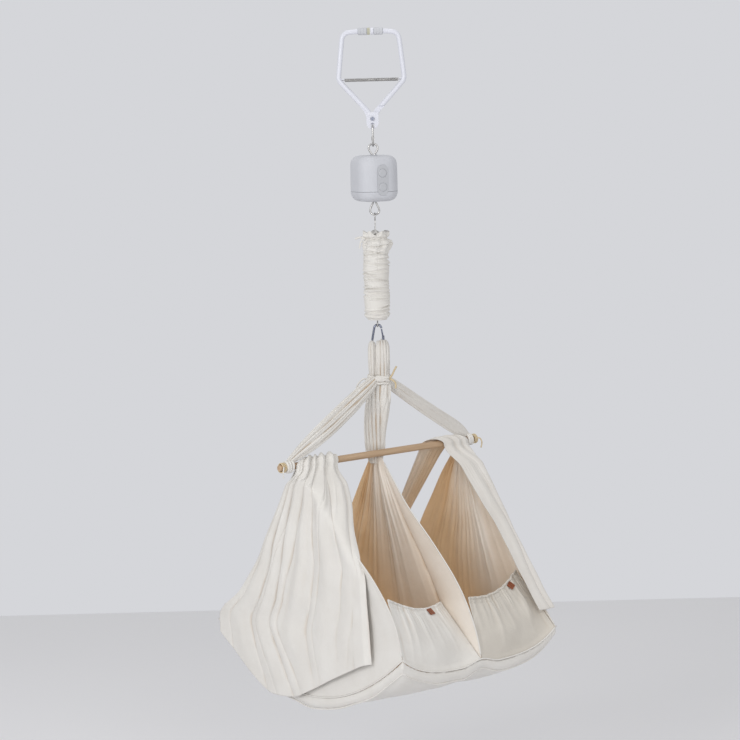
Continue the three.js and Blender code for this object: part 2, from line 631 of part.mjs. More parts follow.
  // Extension spring between the arms: a wound body and two straight ends hooked into the lugs
  const meanR = (CLAMP_SPRING_D - CLAMP_SPRING_WIRE) / 2;
  const pitch = CLAMP_SPRING_LENGTH / CLAMP_SPRING_CURLS;
  const lugHoleX = CLAMP_WAIST_HALF - CLAMP_TUBE_D / 2 - SPRING_LUG_REACH / 2;
  reportCoilGap('clamp spring', meanR, pitch, CLAMP_SPRING_WIRE);
  const beside = SPRING_LUG_THICK / 2 + SEAT_GAP + CLAMP_SPRING_WIRE / 2;
  const lead = (side) => [
    at(side * lugHoleX, beside, -CLAMP_WAIST_DROP),
    at(side * lugHoleX, -beside * 0.8, -CLAMP_WAIST_DROP),
    at(side * (lugHoleX - CLAMP_SPRING_WIRE / 2), -beside, -CLAMP_WAIST_DROP),
    at(side * (CLAMP_SPRING_LENGTH + CLAMP_SPRING_WIRE) / 2, -beside, -CLAMP_WAIST_DROP),
  ];
  const coil = Array.from({ length: CLAMP_SPRING_CURLS * CURL_STEPS + 1 }, (_, i) => {
    const turn = i / CURL_STEPS;
    const a = turn * 2 * Math.PI;
    const x = turn * pitch - CLAMP_SPRING_LENGTH / 2;
    return at(x, -meanR * Math.cos(a), meanR * Math.sin(a) - CLAMP_WAIST_DROP);
  });
  const springRoute = [...lead(-1), ...coil, ...lead(1).reverse()];
  place(chain, 'clamp_spring', wire(springRoute, CLAMP_SPRING_WIRE, CORD_SIDES), FINISH.steel);
}

// Snap hook in a plane: a pear-shaped wire frame with a sprung gate on one leg
function buildSnapHook({ prefix, topZ, height, topR, bottomR, wireD, plane, finish, topShift }) {
  const bottomZ = topZ - height;
  const lowCentre = bottomZ + bottomR;
  const highCentre = topZ - topR;
  const frameEndZ = lowCentre + wireD;
  const pinZ = frameEndZ + GATE_KNUCKLE_RISE;
  const legAt = (z) => mix(bottomR, topR + topShift, (z - lowCentre) / (highCentre - lowCentre));
  const route = [
    plane(legAt(frameEndZ), frameEndZ),
    ...arcPoints([0, lowCentre], bottomR, 0, -180, 8, plane),
    ...arcPoints([topShift, highCentre], topR, 180, 0, 8, plane),
  ];
  const normalAxis = plane === inFrontPlane ? 'y' : 'x';
  const gateD = wireD - GATE_THINNER;
  const pinX = legAt(pinZ);
  const cheekOff = gateD / 2 + SEAT_GAP + GATE_CHEEK_THICK / 2;
  const centreOf = (a, off, b) => (normalAxis === 'y' ? at(a, off, b) : at(off, a, b));
  const cheekHeight = GATE_KNUCKLE_RISE + wireD;
  const cheek = (side) => {
    const middle = centreOf(pinX, side * cheekOff, pinZ + wireD / 2 - cheekHeight / 2);
    const size = normalAxis === 'y' ? [wireD, GATE_CHEEK_THICK] : [GATE_CHEEK_THICK, wireD];
    return block(size[0], size[1], cheekHeight, middle);
  };
  const pinCentre = centreOf(pinX, 0, pinZ);
  const pinBore = (gap, length) => (
    cylinder(GATE_PIN_D + 2 * gap, length, normalAxis, pinCentre, WIRE_SIDES)
  );
  const pinLength = 2 * cheekOff + GATE_CHEEK_THICK;
  const frame = cut(join(wire(route, wireD), cheek(1), cheek(-1)), pinBore(SEAT_GAP, pinLength * 2));
  const gateTopZ = highCentre - wireD / 4 - SEAT_GAP;
  const gateFoot = plane(pinX, pinZ - gateD / 2);
  const gateHead = plane(legAt(gateTopZ), gateTopZ);
  const gate = cut(wire([gateFoot, gateHead], gateD), pinBore(SEAT_GAP, pinLength));
  place(chain, `${prefix}_frame`, frame, finish);
  place(chain, `${prefix}_gate`, gate, finish);
  place(chain, `${prefix}_gate_pin`, pinBore(0, pinLength), FINISH.steel);
}

// Open wire eye with a straight stem, in the front plane
function wireEye(loopZ, stemEndZ, up) {
  const centreZ = loopZ - up * EYE_LOOP_R;
  const neckZ = centreZ - up * (EYE_LOOP_R * Math.sin(EYE_END_DEG * DEG) + EYE_WIRE);
  const onLoop = (a, b) => at(a, 0, centreZ + up * b);
  const stem = [at(0, 0, stemEndZ), at(0, 0, neckZ - up * (EYE_WIRE / 4)), at(EYE_WIRE / 4, 0, neckZ)];
  const turn = arcPoints([0, 0], EYE_LOOP_R, -EYE_END_DEG, 180 + EYE_END_DEG, 11, onLoop);
  return wire([...stem, ...turn], EYE_WIRE, 7);
}

// Swing drive: a soft cube in two shells round a chassis, a geared motor, a lead screw that lifts
// the lower eye, a battery pack, and a board behind two buttons
function buildDrive() {
  const softCube = (inset) => {
    const side = DRIVE_SIDE - 2 * inset;
    const edge = DRIVE_EDGE_R - inset;
    const corner = DRIVE_CORNER_R - inset - edge;
    const half = side / 2 - edge;
    const outline = new THREE.Shape();
    outline.moveTo(-half + corner, -half);
    outline.absarc(half - corner, -half + corner, corner, -Math.PI / 2, 0);
    outline.absarc(half - corner, half - corner, corner, 0, Math.PI / 2);
    outline.absarc(-half + corner, half - corner, corner, Math.PI / 2, Math.PI);
    outline.absarc(-half + corner, -half + corner, corner, Math.PI, Math.PI * 1.5);
    const height = DRIVE_HEIGHT - 2 * inset;
    const bevel = { bevelThickness: edge, bevelSize: edge, bevelSegments: 3, curveSegments: 3 };
    const shape = new THREE.ExtrudeGeometry(outline, { depth: height - 2 * edge, ...bevel });
    return shape.translate(0, 0, driveBottomZ + inset + edge);
  };
  const pill = (grow, depth, centreY) => {
    const halfW = PANEL_WIDTH / 2 + grow;
    const run = PANEL_HEIGHT / 2 - PANEL_WIDTH / 2;
    const outline = new THREE.Shape();
    outline.absarc(0, run, halfW, 0, Math.PI);
    outline.absarc(0, -run, halfW, Math.PI, 2 * Math.PI);
    const shape = new THREE.ExtrudeGeometry(outline, { depth, bevelEnabled: false, curveSegments: 8 });
    return shape.rotateX(Math.PI / 2).translate(0, centreY + depth / 2, driveTopZ - PANEL_DROP);
  };
  const shell = cut(softCube(0), softCube(DRIVE_WALL));
  const faceY = -DRIVE_SIDE / 2;
  const big = DRIVE_SIDE + 2 * CUT_OVERRUN;
  const panelZ = driveTopZ - PANEL_DROP;
  const window = pill(SEAT_GAP, DRIVE_WALL * 4, faceY);
  const portZ = driveTopZ - PORT_DROP;
  const portX = DRIVE_SIDE / 2 - DRIVE_WALL / 2;
  const portHole = block(DRIVE_WALL * 4, PORT_WIDTH, PORT_HEIGHT, at(portX, 0, portZ));
  const topHole = cylinder(GROMMET_D, DRIVE_WALL * 4, 'z', at(0, 0, driveTopZ));
  const bottomHole = cylinder(GROMMET_D, DRIVE_WALL * 4, 'z', at(0, 0, driveBottomZ));
  const lowCut = driveSeamZ + DRIVE_SEAM_GAP / 2;
  const highCut = driveSeamZ - DRIVE_SEAM_GAP / 2;
  const slice = (fromZ, toZ) => block(big, big, toZ - fromZ, at(0, 0, (toZ + fromZ) / 2));
  const below = slice(driveBottomZ - CUT_OVERRUN, lowCut);
  const above = slice(highCut, driveTopZ + CUT_OVERRUN);
  place(drive, 'drive_upper_housing', cut(shell, below, window, portHole, topHole), FINISH.shell);
  place(drive, 'drive_lower_housing', cut(shell, above, window, bottomHole), FINISH.shell);

  const panelDepth = DRIVE_WALL + PANEL_PROUD;
  const panelY = faceY - PANEL_PROUD + panelDepth / 2;
  const buttonZs = [panelZ + BUTTON_SPACING / 2, panelZ - BUTTON_SPACING / 2];
  const holeD = BUTTON_D + 2 * SEAT_GAP;
  const buttonHoles = buttonZs.map((z) => cylinder(holeD, DRIVE_WALL * 4, 'y', at(0, faceY, z)));
  place(drive, 'drive_button_panel', cut(pill(0, panelDepth, panelY), ...buttonHoles), FINISH.panel);

  const lowPlateTop = driveBottomZ + CHASSIS_BOTTOM_RISE + CHASSIS_PLATE / 2;
  const boardY = faceY + (DRIVE_SIDE - CHASSIS_SIDE) / 2 + BOARD_THICK;
  const panelBack = faceY + DRIVE_WALL;
  const button = (z) => {
    const faceAt = faceY - PANEL_PROUD - BUTTON_PROUD;
    const flangeAt = panelBack + SEAT_GAP;
    const stemEnd = boardY - BOARD_THICK / 2 - BUTTON_TRAVEL - SEAT_GAP;
    const r = BUTTON_D / 2;
    const dome = BUTTON_PROUD / 3;
    const profile = [
      [0, faceAt], [r - dome * 2, faceAt], [r, faceAt + dome * 2], [r, flangeAt],
      [r + BUTTON_FLANGE, flangeAt], [r + BUTTON_FLANGE, flangeAt + BUTTON_FLANGE],
      [BUTTON_STEM_D / 2, flangeAt + BUTTON_FLANGE], [BUTTON_STEM_D / 2, stemEnd], [0, stemEnd],
    ];
    return turned(profile).rotateX(-Math.PI / 2).translate(0, 0, z);
  };
  place(drive, 'drive_button_upper', button(buttonZs[0]), FINISH.panel);
  place(drive, 'drive_button_lower', button(buttonZs[1]), FINISH.panel);

  const coverSize = [DRIVE_WALL, PORT_WIDTH - 2 * SEAT_GAP, PORT_HEIGHT - 2 * SEAT_GAP];
  place(drive, 'drive_port_cover', block(...coverSize, at(portX, 0, portZ)), FINISH.rubber);

  // Grommets in the top and bottom holes
  const stemR = EYE_WIRE / 2;
  const grommet = (z, up) => {
    const neck = GROMMET_D / 2 - SEAT_GAP;
    const lip = neck + GROMMET_LIP * 2;
    const outerFace = z + up * (SEAT_GAP + GROMMET_LIP);
    const seatFace = z + up * SEAT_GAP;
    const innerFace = z - up * DRIVE_WALL;
    const bore = stemR + RUN_GAP;
    return turned([
      [bore, innerFace], [neck, innerFace], [neck, seatFace], [lip, seatFace], [lip, outerFace],
      [bore, outerFace], [bore, innerFace],
    ], 12);
  };
  place(drive, 'drive_top_grommet', grommet(driveTopZ, 1), FINISH.rubber);
  place(drive, 'drive_bottom_grommet', grommet(driveBottomZ, -1), FINISH.rubber);

  // Chassis: two plates and two posts
  const topPlateZ = driveTopZ - CHASSIS_TOP_DROP - CHASSIS_PLATE / 2;
  const lowPlateZ = lowPlateTop - CHASSIS_PLATE / 2;
  const plateSize = [CHASSIS_WIDTH, CHASSIS_SIDE];
  const post = (side) => block(
    CHASSIS_PLATE, CHASSIS_POST_WIDTH, topPlateZ - lowPlateZ,
    at(side * (plateSize[0] - CHASSIS_PLATE) / 2, 0, (topPlateZ + lowPlateZ) / 2),
  );
  const chassis = cut(
    join(
      block(plateSize[0], plateSize[0], CHASSIS_PLATE, at(0, 0, topPlateZ)),
      block(plateSize[0], plateSize[1], CHASSIS_PLATE, at(0, 0, lowPlateZ)),
      post(1), post(-1),
    ),
    cylinder(EYE_WIRE + 2 * SEAT_GAP, CHASSIS_PLATE * 2, 'z', at(0, 0, topPlateZ), 12),
    cylinder(CARRIAGE_D + 2 * RUN_GAP, CHASSIS_PLATE * 2, 'z', at(0, 0, lowPlateZ)),
  );
  place(drive, 'drive_chassis', chassis, FINISH.inner);

  // Top eye, held under the upper plate by its flange
  const flangeTop = topPlateZ - CHASSIS_PLATE / 2 - SEAT_GAP;
  const flangeLow = flangeTop - EYE_FLANGE_THICK;
  const flange = cylinder(EYE_FLANGE_D, EYE_FLANGE_THICK, 'z', at(0, 0, (flangeTop + flangeLow) / 2), 6);

  // Geared motor under the flange, with a pocket for it, and the lead screw on its shaft
  const motorTop = topPlateZ - CHASSIS_PLATE / 2 - SEAT_GAP;
  const motorLow = motorTop - MOTOR_LENGTH;
  const pocketR = EYE_FLANGE_D / 2 + SEAT_GAP;
  const pocketLow = flangeLow - SEAT_GAP;
  const motor = turned([
    [0, motorLow], [MOTOR_D / 2 - DRIVE_WALL, motorLow], [MOTOR_D / 2, motorLow + DRIVE_WALL],
    [MOTOR_D / 2, motorTop], [pocketR, motorTop], [pocketR, pocketLow], [0, pocketLow],
  ]);
  place(drive, 'drive_gear_motor', motor, FINISH.steel);
  const screwTop = motorLow - SEAT_GAP;
  const screwR = LEAD_SCREW_D / 2;
  const threadStart = screwTop - SCREW_HEAD_LENGTH;
  const screwProfile = [[0, screwTop], [SCREW_HEAD_D / 2, screwTop], [SCREW_HEAD_D / 2, threadStart]];
  const threadPitch = (LEAD_SCREW_LENGTH - SCREW_HEAD_LENGTH) / LEAD_SCREW_RIDGES;
  for (let i = 0; i < LEAD_SCREW_RIDGES; i += 1) {
    screwProfile.push([screwR - LEAD_SCREW_THREAD, threadStart - i * threadPitch]);
    screwProfile.push([screwR, threadStart - (i + 0.5) * threadPitch]);
  }
  const screwLow = screwTop - LEAD_SCREW_LENGTH;
  screwProfile.push([screwR - LEAD_SCREW_THREAD, screwLow], [0, screwLow]);
  place(drive, 'drive_lead_screw', turned(screwProfile, 12), FINISH.steel);

  // Carriage: the nut on the screw, a flange that the lower plate stops, a socket for the eye
  const flangeSeat = lowPlateTop + SEAT_GAP + CARRIAGE_TRAVEL;
  const flangeHead = flangeSeat + CARRIAGE_FLANGE_THICK;
  const webLow = flangeSeat - CARRIAGE_WEB;
  const nutR = screwR + SEAT_GAP;
  const socketR = stemR + SEAT_GAP;
  const carriageLow = webLow - CARRIAGE_SOCKET_DEPTH;
  const nutTop = flangeSeat + CARRIAGE_NUT_LENGTH;
  const carriage = turned([
    [0, flangeSeat], [nutR, flangeSeat], [nutR, nutTop], [CARRIAGE_D / 2, nutTop],
    [CARRIAGE_D / 2, flangeHead], [CARRIAGE_FLANGE_D / 2, flangeHead],
    [CARRIAGE_FLANGE_D / 2, flangeSeat], [CARRIAGE_D / 2, flangeSeat], [CARRIAGE_D / 2, carriageLow],
    [socketR, carriageLow], [socketR, webLow], [0, webLow],
  ], 12);
  place(drive, 'drive_screw_carriage', carriage, FINISH.brass);

  const packY = plateSize[1] / 2 - BATTERY_DEPTH / 2;
  const packZ = lowPlateTop + SEAT_GAP + BATTERY_HEIGHT / 2;
  const pack = block(BATTERY_WIDTH, BATTERY_DEPTH, BATTERY_HEIGHT, at(0, packY, packZ));
  place(drive, 'drive_battery_pack', pack, FINISH.inner);
  const boardZ = lowPlateTop + SEAT_GAP + BOARD_HEIGHT / 2;
  const board = block(BOARD_WIDTH, BOARD_THICK, BOARD_HEIGHT, at(0, boardY, boardZ));
  place(drive, 'drive_circuit_board', board, FINISH.board);

  // The two eyes stand in the clamp's plane, so they belong to the hanging line
  place(chain, 'drive_top_eye', join(wireEye(topEyeZ, flangeLow, 1), flange), FINISH.steel);
  place(chain, 'drive_bottom_eye', wireEye(bottomEyeZ, webLow - SEAT_GAP, -1), FINISH.steel);
}

// Extension spring with a hooked plug at each end, inside a gathered cotton sleeve
function buildSpringUnit() {
  const loopCentreZ = springHookZ - SPRING_HOOK_R;
  const plugTopZ = loopCentreZ - SPRING_HOOK_R - SPRING_HOOK_STEM;
  const plugLowZ = plugTopZ - SPRING_PLUG_THICK;
  const hookTurn = arcPoints([0, loopCentreZ], SPRING_HOOK_R, 228, -48, 10, inSidePlane);
  const hookRoute = [
    ...hookTurn,
    at(0, SPRING_HOOK_WIRE / 4, loopCentreZ - SPRING_HOOK_R * 1.3),
    at(0, 0, loopCentreZ - SPRING_HOOK_R * 1.7),
    at(0, 0, plugLowZ + SPRING_PLUG_THICK / 2),
  ];
  const topPlug = cylinder(SPRING_PLUG_D, SPRING_PLUG_THICK, 'z', at(0, 0, (plugTopZ + plugLowZ) / 2));
  place(chain, 'spring_top_hook', join(wire(hookRoute, SPRING_HOOK_WIRE, 7), topPlug), FINISH.steel);

  const eyeCentreZ = springEyeZ + SPRING_EYE_R;
  const footTopZ = eyeCentreZ + SPRING_EYE_R + SPRING_EYE_STEM + SPRING_PLUG_THICK;
  const footLowZ = footTopZ - SPRING_PLUG_THICK;
  const eyeTurn = arcPoints([0, eyeCentreZ], SPRING_EYE_R, 140, 400, 10, inSidePlane);
  const eyeRoute = [...eyeTurn, at(0, 0, footTopZ - SPRING_PLUG_THICK / 2)];
  const footPlug = cylinder(SPRING_PLUG_D, SPRING_PLUG_THICK, 'z', at(0, 0, (footTopZ + footLowZ) / 2));
  place(chain, 'spring_bottom_eye', join(wire(eyeRoute, SPRING_HOOK_WIRE, 7), footPlug), FINISH.steel);

  const springLength = plugLowZ - footTopZ - 2 * SEAT_GAP;
  const coilR = (MAIN_SPRING_D - MAIN_SPRING_WIRE) / 2;
  const coil = woundSpring('main spring', coilR, MAIN_SPRING_WIRE, springLength, MAIN_SPRING_CURLS);
  place(chain, 'main_spring', coil.translate(0, 0, (plugLowZ + footTopZ) / 2), FINISH.steel);

  // Gathered sleeve: a creased tube that is drawn in round both plugs and ruffled at the top
  const topZ = plugTopZ + SLEEVE_RUFFLE_RISE;
  const lowZ = footLowZ - SEAT_GAP;
  const sleeveSides = 12;
  const plugR = clearing(SPRING_PLUG_D / 2 + SEAT_GAP, sleeveSides);
  const creases = 10;
  const rows = 29;
  const neckShare = 3 / rows;
  const neckReachShare = 0.03;
  const ruffleShare = 0.07;
  const footTaperShare = 0.07;
  const footDrawnInShare = 0.2;
  const plainHemShare = 0.04;
  const inner = [
    [plugR, topZ], [plugR, plugLowZ], [SLEEVE_R - SLEEVE_WALL, plugLowZ - SLEEVE_WALL],
    [SLEEVE_R - SLEEVE_WALL, footTopZ + SLEEVE_WALL], [plugR, footTopZ], [plugR, lowZ],
  ];
  const section = (share, around) => {
    const total = rows + inner.length;
    const row = Math.round(share * total);
    const a = around * 2 * Math.PI;
    if (row > rows) {
      const [radius, z] = inner[inner.length - (row - rows)];
      return at(radius * Math.cos(a), radius * Math.sin(a), z);
    }
    const t = row / rows;
    const z = mix(topZ, lowZ, t);
    const wave = Math.sin(t * creases * 2 * Math.PI + Math.sin(a) + Math.cos(2 * a));
    const neck = Math.exp(-(((t - neckShare) / neckReachShare) ** 2));
    const taper = smooth((t - 1 + footTaperShare) / footTaperShare);
    const drawnIn = 1 - SLEEVE_NECK_SHARE * neck - footDrawnInShare * taper;
    const flare = SLEEVE_RUFFLE_FLARE * (1 - smooth(t / ruffleShare)) * Math.cos(5 * a);
    const crease = SLEEVE_CREASE * wave * (1 - neck) * smooth((1 - t) / plainHemShare);
    const radius = (SLEEVE_R + crease) * drawnIn + flare;
    return at(radius * Math.cos(a), radius * Math.sin(a), z);
  };
  place(chain, 'spring_sleeve', tubeOfRings(section, rows + inner.length, sleeveSides), FINISH.cotton);

  // Drawstring in the neck of the ruffle, with its two tails on the left
  const neckZ = mix(topZ, lowZ, neckShare);
  const besideNeck = (DRAWSTRING_D / 2 + SEAT_GAP) * 1.7;
  const neckR = clearing(SLEEVE_R * (1 - SLEEVE_NECK_SHARE) + besideNeck, sleeveSides);
  const tailR = neckR + DRAWSTRING_REACH;
  const tail = (turnDeg, drop) => {
    const a = turnDeg * DEG;
    return at(tailR * Math.cos(a), tailR * Math.sin(a), neckZ - drop);
  };
  const route = [
    tail(187, DRAWSTRING_TAIL),
    tail(190, DRAWSTRING_TAIL / 3),
    ...arcPoints([0, 0], neckR, 195, 525, 16, (a, b) => at(a, b, neckZ)),
    tail(172, DRAWSTRING_TAIL / 4),
    tail(176, DRAWSTRING_TAIL / 2),
  ];
  place(chain, 'sleeve_drawstring', wire(loose(route, 30), DRAWSTRING_D, CORD_SIDES), FINISH.cord);
}

// A ring-shaped solid: its section's rings run down the outside and back up the inside
function tubeOfRings(pointAt, rings, sides) {
  const positions = [];
  const index = [];
  for (let i = 0; i <= rings; i += 1) {
    for (let j = 0; j < sides; j += 1) positions.push(...pointAt(i / rings, j / sides).toArray());
  }
  for (let i = 0; i <= rings; i += 1) {
    const next = (i + 1) % (rings + 1);
    for (let j = 0; j < sides; j += 1) {
      const k = (j + 1) % sides;
      index.push(i * sides + j, i * sides + k, next * sides + k);
      index.push(i * sides + j, next * sides + k, next * sides + j);
    }
  }
  const geometry = new THREE.BufferGeometry();
  geometry.setAttribute('position', new THREE.Float32BufferAttribute(positions, 3));
  geometry.setIndex(index);
  return closed(geometry);
}

// Cloth head over the lower hook, the knot below it, and the three straps down to the bar
function buildHeadAndStraps() {
  const topZ = lowerHookBottomZ + LOWER_HOOK_WIRE / 2 + CLOTH_OVER_WIRE;
  const pinchZ = lowerHookBottomZ - PINCH_DROP;
  const tiePitch = TIE_CORD_D + RUN_GAP;
  const tieBand = (TIE_TURNS * tiePitch + TIE_CORD_D) / 2;
  const domeShare = 0.87;
  const domeDropShare = 0.93;
  const halfWidthAt = (z) => {
    const above = (z - pinchZ) / (topZ - pinchZ);
    const away = Math.max(0, Math.abs(z - pinchZ) - tieBand);
    if (above < 0) return mix(PINCH_HALF, HEAD_FOOT_HALF, away / (pinchZ - headFootZ - tieBand));
    const rounding = Math.max(0, above - domeShare) / (1 - domeShare);
    const dome = Math.sqrt(1 - domeDropShare * rounding ** 2);
    return mix(PINCH_HALF, HEAD_TOP_HALF, smooth(away / (topZ - pinchZ - tieBand))) * dome;
  };
  const bundle = (share, around) => {
    const z = mix(topZ, headFootZ, share);
    const a = around * 2 * Math.PI;
    const fold = 1 + HEAD_FOLD_SHARE * Math.cos(6 * a) * smooth(share * 4);
    const half = Math.max(halfWidthAt(z), PINCH_HALF / 2);
    const depth = Math.min(HEAD_DEPTH_HALF, half);
    return at(half * fold * Math.cos(a), depth * fold * Math.sin(a), z);
  };
  // The hook's channel widens sideways as it rises, so that the hook can rock in it
  const channelR = clearing(LOWER_HOOK_WIRE / 2 + RUN_GAP, CHANNEL_SIDES);
  const channel = loft((share, around) => {
    const a = mix(30, -210, share) * DEG;
    const b = (around + 0.5 / CHANNEL_SIDES) * 2 * Math.PI;
    const ringR = LOWER_HOOK_BOTTOM_R + channelR * Math.cos(b);
    const rise = LOWER_HOOK_BOTTOM_R + ringR * Math.sin(a);
    const play = Math.max(0, rise) * Math.tan(CRADLE_SWING_DEG * DEG) * Math.sign(Math.sin(b));
    return at(ringR * Math.cos(a), channelR * Math.sin(b) + play, lowerHookBottomZ + rise);
  }, 12, CHANNEL_SIDES);
  place(chain, 'cloth_head', cut(loft(bundle, 12, 16), channel), FINISH.cotton);

  // Tie cord: three turns round the pinch, with a tail on the right and a loose loop on the left
  const tieR = clearing(PINCH_HALF * (1 + HEAD_FOLD_SHARE) + TIE_CORD_D / 2 + SEAT_GAP * 2, LOOP_STEPS);
  const helix = Array.from({ length: TIE_TURNS * LOOP_STEPS + 1 }, (_, i) => {
    const turn = i / LOOP_STEPS;
    const a = turn * 2 * Math.PI;
    return at(tieR * Math.cos(a), -tieR * Math.sin(a), pinchZ + (TIE_TURNS / 2 - turn) * tiePitch);
  });
  reportCoilGap('knot tie', tieR, tiePitch, TIE_CORD_D);
  const knotEnd = helix[helix.length - 1];
  const upTail = [
    at(tieR + TIE_TAIL * 0.75, -TIE_CORD_D, pinchZ + TIE_TAIL * 0.75),
    at(tieR + TIE_TAIL * 0.35, -TIE_CORD_D, pinchZ + TIE_TAIL * 0.35),
  ];
  const downTail = [
    at(knotEnd.x + TIE_CORD_D * 1.5, -TIE_CORD_D, knotEnd.z - TIE_TAIL * 0.1),
    at(knotEnd.x + TIE_CORD_D * 2.5, -TIE_CORD_D * 2, knotEnd.z - TIE_TAIL * 0.4),
  ];
  place(chain, 'knot_tie', wire([...upTail, ...helix, ...downTail], TIE_CORD_D, CORD_SIDES), FINISH.cord);

  // A strap runs from under the head to its wrap round the bar
  const barBore = cylinder(BAR_D + 2 * SEAT_GAP, BAR_LENGTH, 'x', at(0, 0, barZ));
  const lashingWidth = (LASHING_TURNS - 0.5) * (LASHING_D + RUN_GAP) + LASHING_D;
  const wrapX = BAR_LENGTH / 2 - BAR_END_MARGIN - lashingWidth - SEAT_GAP * 2 - STRAP_WRAP_WIDTH / 2;
  const fullWidthShare = 0.6;
  const narrowingShare = 0.72;
  const strap = (side, fullHalf) => {
    const start = at(side * (STRAP_TOP_HALF * 2 + SEAT_GAP), 0, headFootZ - SEAT_GAP);
    const end = at(side * wrapX, 0, barZ + barR + SEAT_GAP + BAR_WRAP / 2);
    const run = end.clone().sub(start).normalize();
    const across = at(-run.z, 0, run.x);
    const section = (share, around) => {
      const a = around * 2 * Math.PI;
      const rise = smooth(share / fullWidthShare);
      const narrowing = smooth((share - narrowingShare) / (1 - narrowingShare));
      const half = mix(mix(STRAP_TOP_HALF, fullHalf, rise), STRAP_WRAP_WIDTH / 2.4, narrowing);
      const width = at(1, 0, 0).lerp(across, smooth(share * 5) * (1 - narrowing)).normalize();
      const ends = smooth(share * 6) * smooth((1 - share) * 4);
      const fold = STRAP_FOLD * Math.cos(Math.cos(a) * STRAP_FOLDS * Math.PI) * ends;
      const point = start.clone().lerp(end, share).addScaledVector(width, half * Math.cos(a));
      return point.add(at(0, (STRAP_THICK / 2) * Math.sin(a) + fold, 0));
    };
    const wrap = ring(barR + SEAT_GAP, wrapR, -STRAP_WRAP_WIDTH / 2, STRAP_WRAP_WIDTH / 2)
      .rotateY(Math.PI / 2)
      .translate(side * wrapX, 0, barZ);
    return cut(join(loft(section, 9, 14), wrap), barBore);
  };
  place(cradleRoot, 'strap_left', strap(-1, LEFT_STRAP_HALF), FINISH.cotton);
  place(cradleRoot, 'strap_right', strap(1, RIGHT_STRAP_HALF), FINISH.cotton);

  // The middle strap goes behind the bar and is drawn in there
  const strapFootZ = barZ - barR;
  const swellShare = 1.08;
  const setBackShare = 0.9;
  const middle = (share, around) => {
    const a = around * 2 * Math.PI;
    const swell = Math.sin(Math.PI * Math.min(1, share * swellShare)) ** 0.8;
    const half = mix(mix(STRAP_TOP_HALF, CENTRE_STRAP_FOOT_HALF, share), CENTRE_STRAP_HALF, swell);
    const ends = smooth(share * 5) * smooth((1 - share) * 5);
    const fold = 1 + CENTRE_STRAP_FOLD_SHARE * Math.cos(9 * a) * ends;
    const depth = mix(STRAP_TOP_HALF, CENTRE_STRAP_THICK / 2, smooth(share * 3));
    const back = STRAND_SET_BACK * smooth(share / setBackShare);
    const z = mix(headFootZ - SEAT_GAP, strapFootZ, share);
    return at(half * Math.cos(a) * fold, back + depth * Math.sin(a) * fold, z);
  };
  const centre = cut(loft(middle, 9, 18), barBore);
  place(cradleRoot, 'strap_centre', centre, FINISH.cotton);

  // Spreader bar with its rounded ends, and the cord lashings that stop the straps
  const bevel = BAR_D / 10;
  const bar = turned([
    [0, -BAR_LENGTH / 2], [barR - bevel, -BAR_LENGTH / 2], [barR, -BAR_LENGTH / 2 + bevel],
    [barR, BAR_LENGTH / 2 - bevel], [barR - bevel, BAR_LENGTH / 2], [0, BAR_LENGTH / 2],
  ]).rotateY(Math.PI / 2).translate(0, 0, barZ);
  place(cradleRoot, 'spreader_bar', bar, FINISH.beech);
  [[-1, 'left'], [1, 'right']].forEach(([side, name]) => {
    const lashR = clearing(barR + SEAT_GAP + LASHING_D / 2, LOOP_STEPS);
    const pitch = LASHING_D + RUN_GAP;
    const startX = BAR_LENGTH / 2 - BAR_END_MARGIN - LASHING_D / 2;
    const turns = Array.from({ length: (LASHING_TURNS - 0.5) * LOOP_STEPS + 1 }, (_, i) => {
      const turn = i / LOOP_STEPS;
      const a = (turn + 0.25) * 2 * Math.PI;
      return at(side * (startX - turn * pitch), lashR * Math.cos(a), barZ + lashR * Math.sin(a));
    });
    const first = turns[0];
    const tails = [
      at(first.x + side * LASHING_D * 3, -LASHING_D * 3, first.z - LASHING_D * 5),
      at(first.x + side * LASHING_D * 1.6, -LASHING_D * 2, first.z + LASHING_D * 0.2),
    ];
    reportCoilGap(`bar lashing ${name}`, lashR, pitch, LASHING_D);
    const lashing = wire([...tails, ...turns], LASHING_D, CORD_SIDES);
    place(cradleRoot, `bar_lashing_${name}`, lashing, FINISH.cord);
  });
  return wrapX;
}

// Height of the base's cloth at a place: it hangs as a trough between its raised ends
function clothZ(x, y) {
  const across = Math.min(1, Math.abs(x) / (CRADLE_WIDTH / 2));
  const along = Math.min(1, Math.abs(y) / (CRADLE_LENGTH / 2));
  const endShare = along * along;
  const notch = BASE_NOTCH * endShare * (1 - smooth(Math.abs(x) / BASE_NOTCH_HALF));
  const sideways = mix(BASE_MID_SAG, BASE_END_SAG, endShare) * (1 - across ** 4);
  return -SEAM_DROP - BASE_SAG * (1 - endShare) - sideways + notch;
}

// The same height on the base's grid of flat panels, so that what is sewn to it lies on it
function seamZ(x, y) {
  const cellX = Math.min(BASE_COLUMNS - 1, Math.floor((x / CRADLE_WIDTH + 0.5) * BASE_COLUMNS));
  const cellY = Math.min(BASE_ROWS - 1, Math.floor((y / CRADLE_LENGTH + 0.5) * BASE_ROWS));
  const gridX = (i) => (i / BASE_COLUMNS - 0.5) * CRADLE_WIDTH;
  const gridY = (i) => (i / BASE_ROWS - 0.5) * CRADLE_LENGTH;
  const tx = (x - gridX(cellX)) / (CRADLE_WIDTH / BASE_COLUMNS);
  const ty = (y - gridY(cellY)) / (CRADLE_LENGTH / BASE_ROWS);
  const onRow = (i) => mix(clothZ(gridX(cellX), gridY(i)), clothZ(gridX(cellX + 1), gridY(i)), tx);
  return mix(onRow(cellY), onRow(cellY + 1), ty);
}

const LEFT_BOWS = [WALL_BOW_OUT, WALL_BOW_IN];
const RIGHT_BOWS = [RIGHT_WALL_BOW, WALL_BOW_IN];

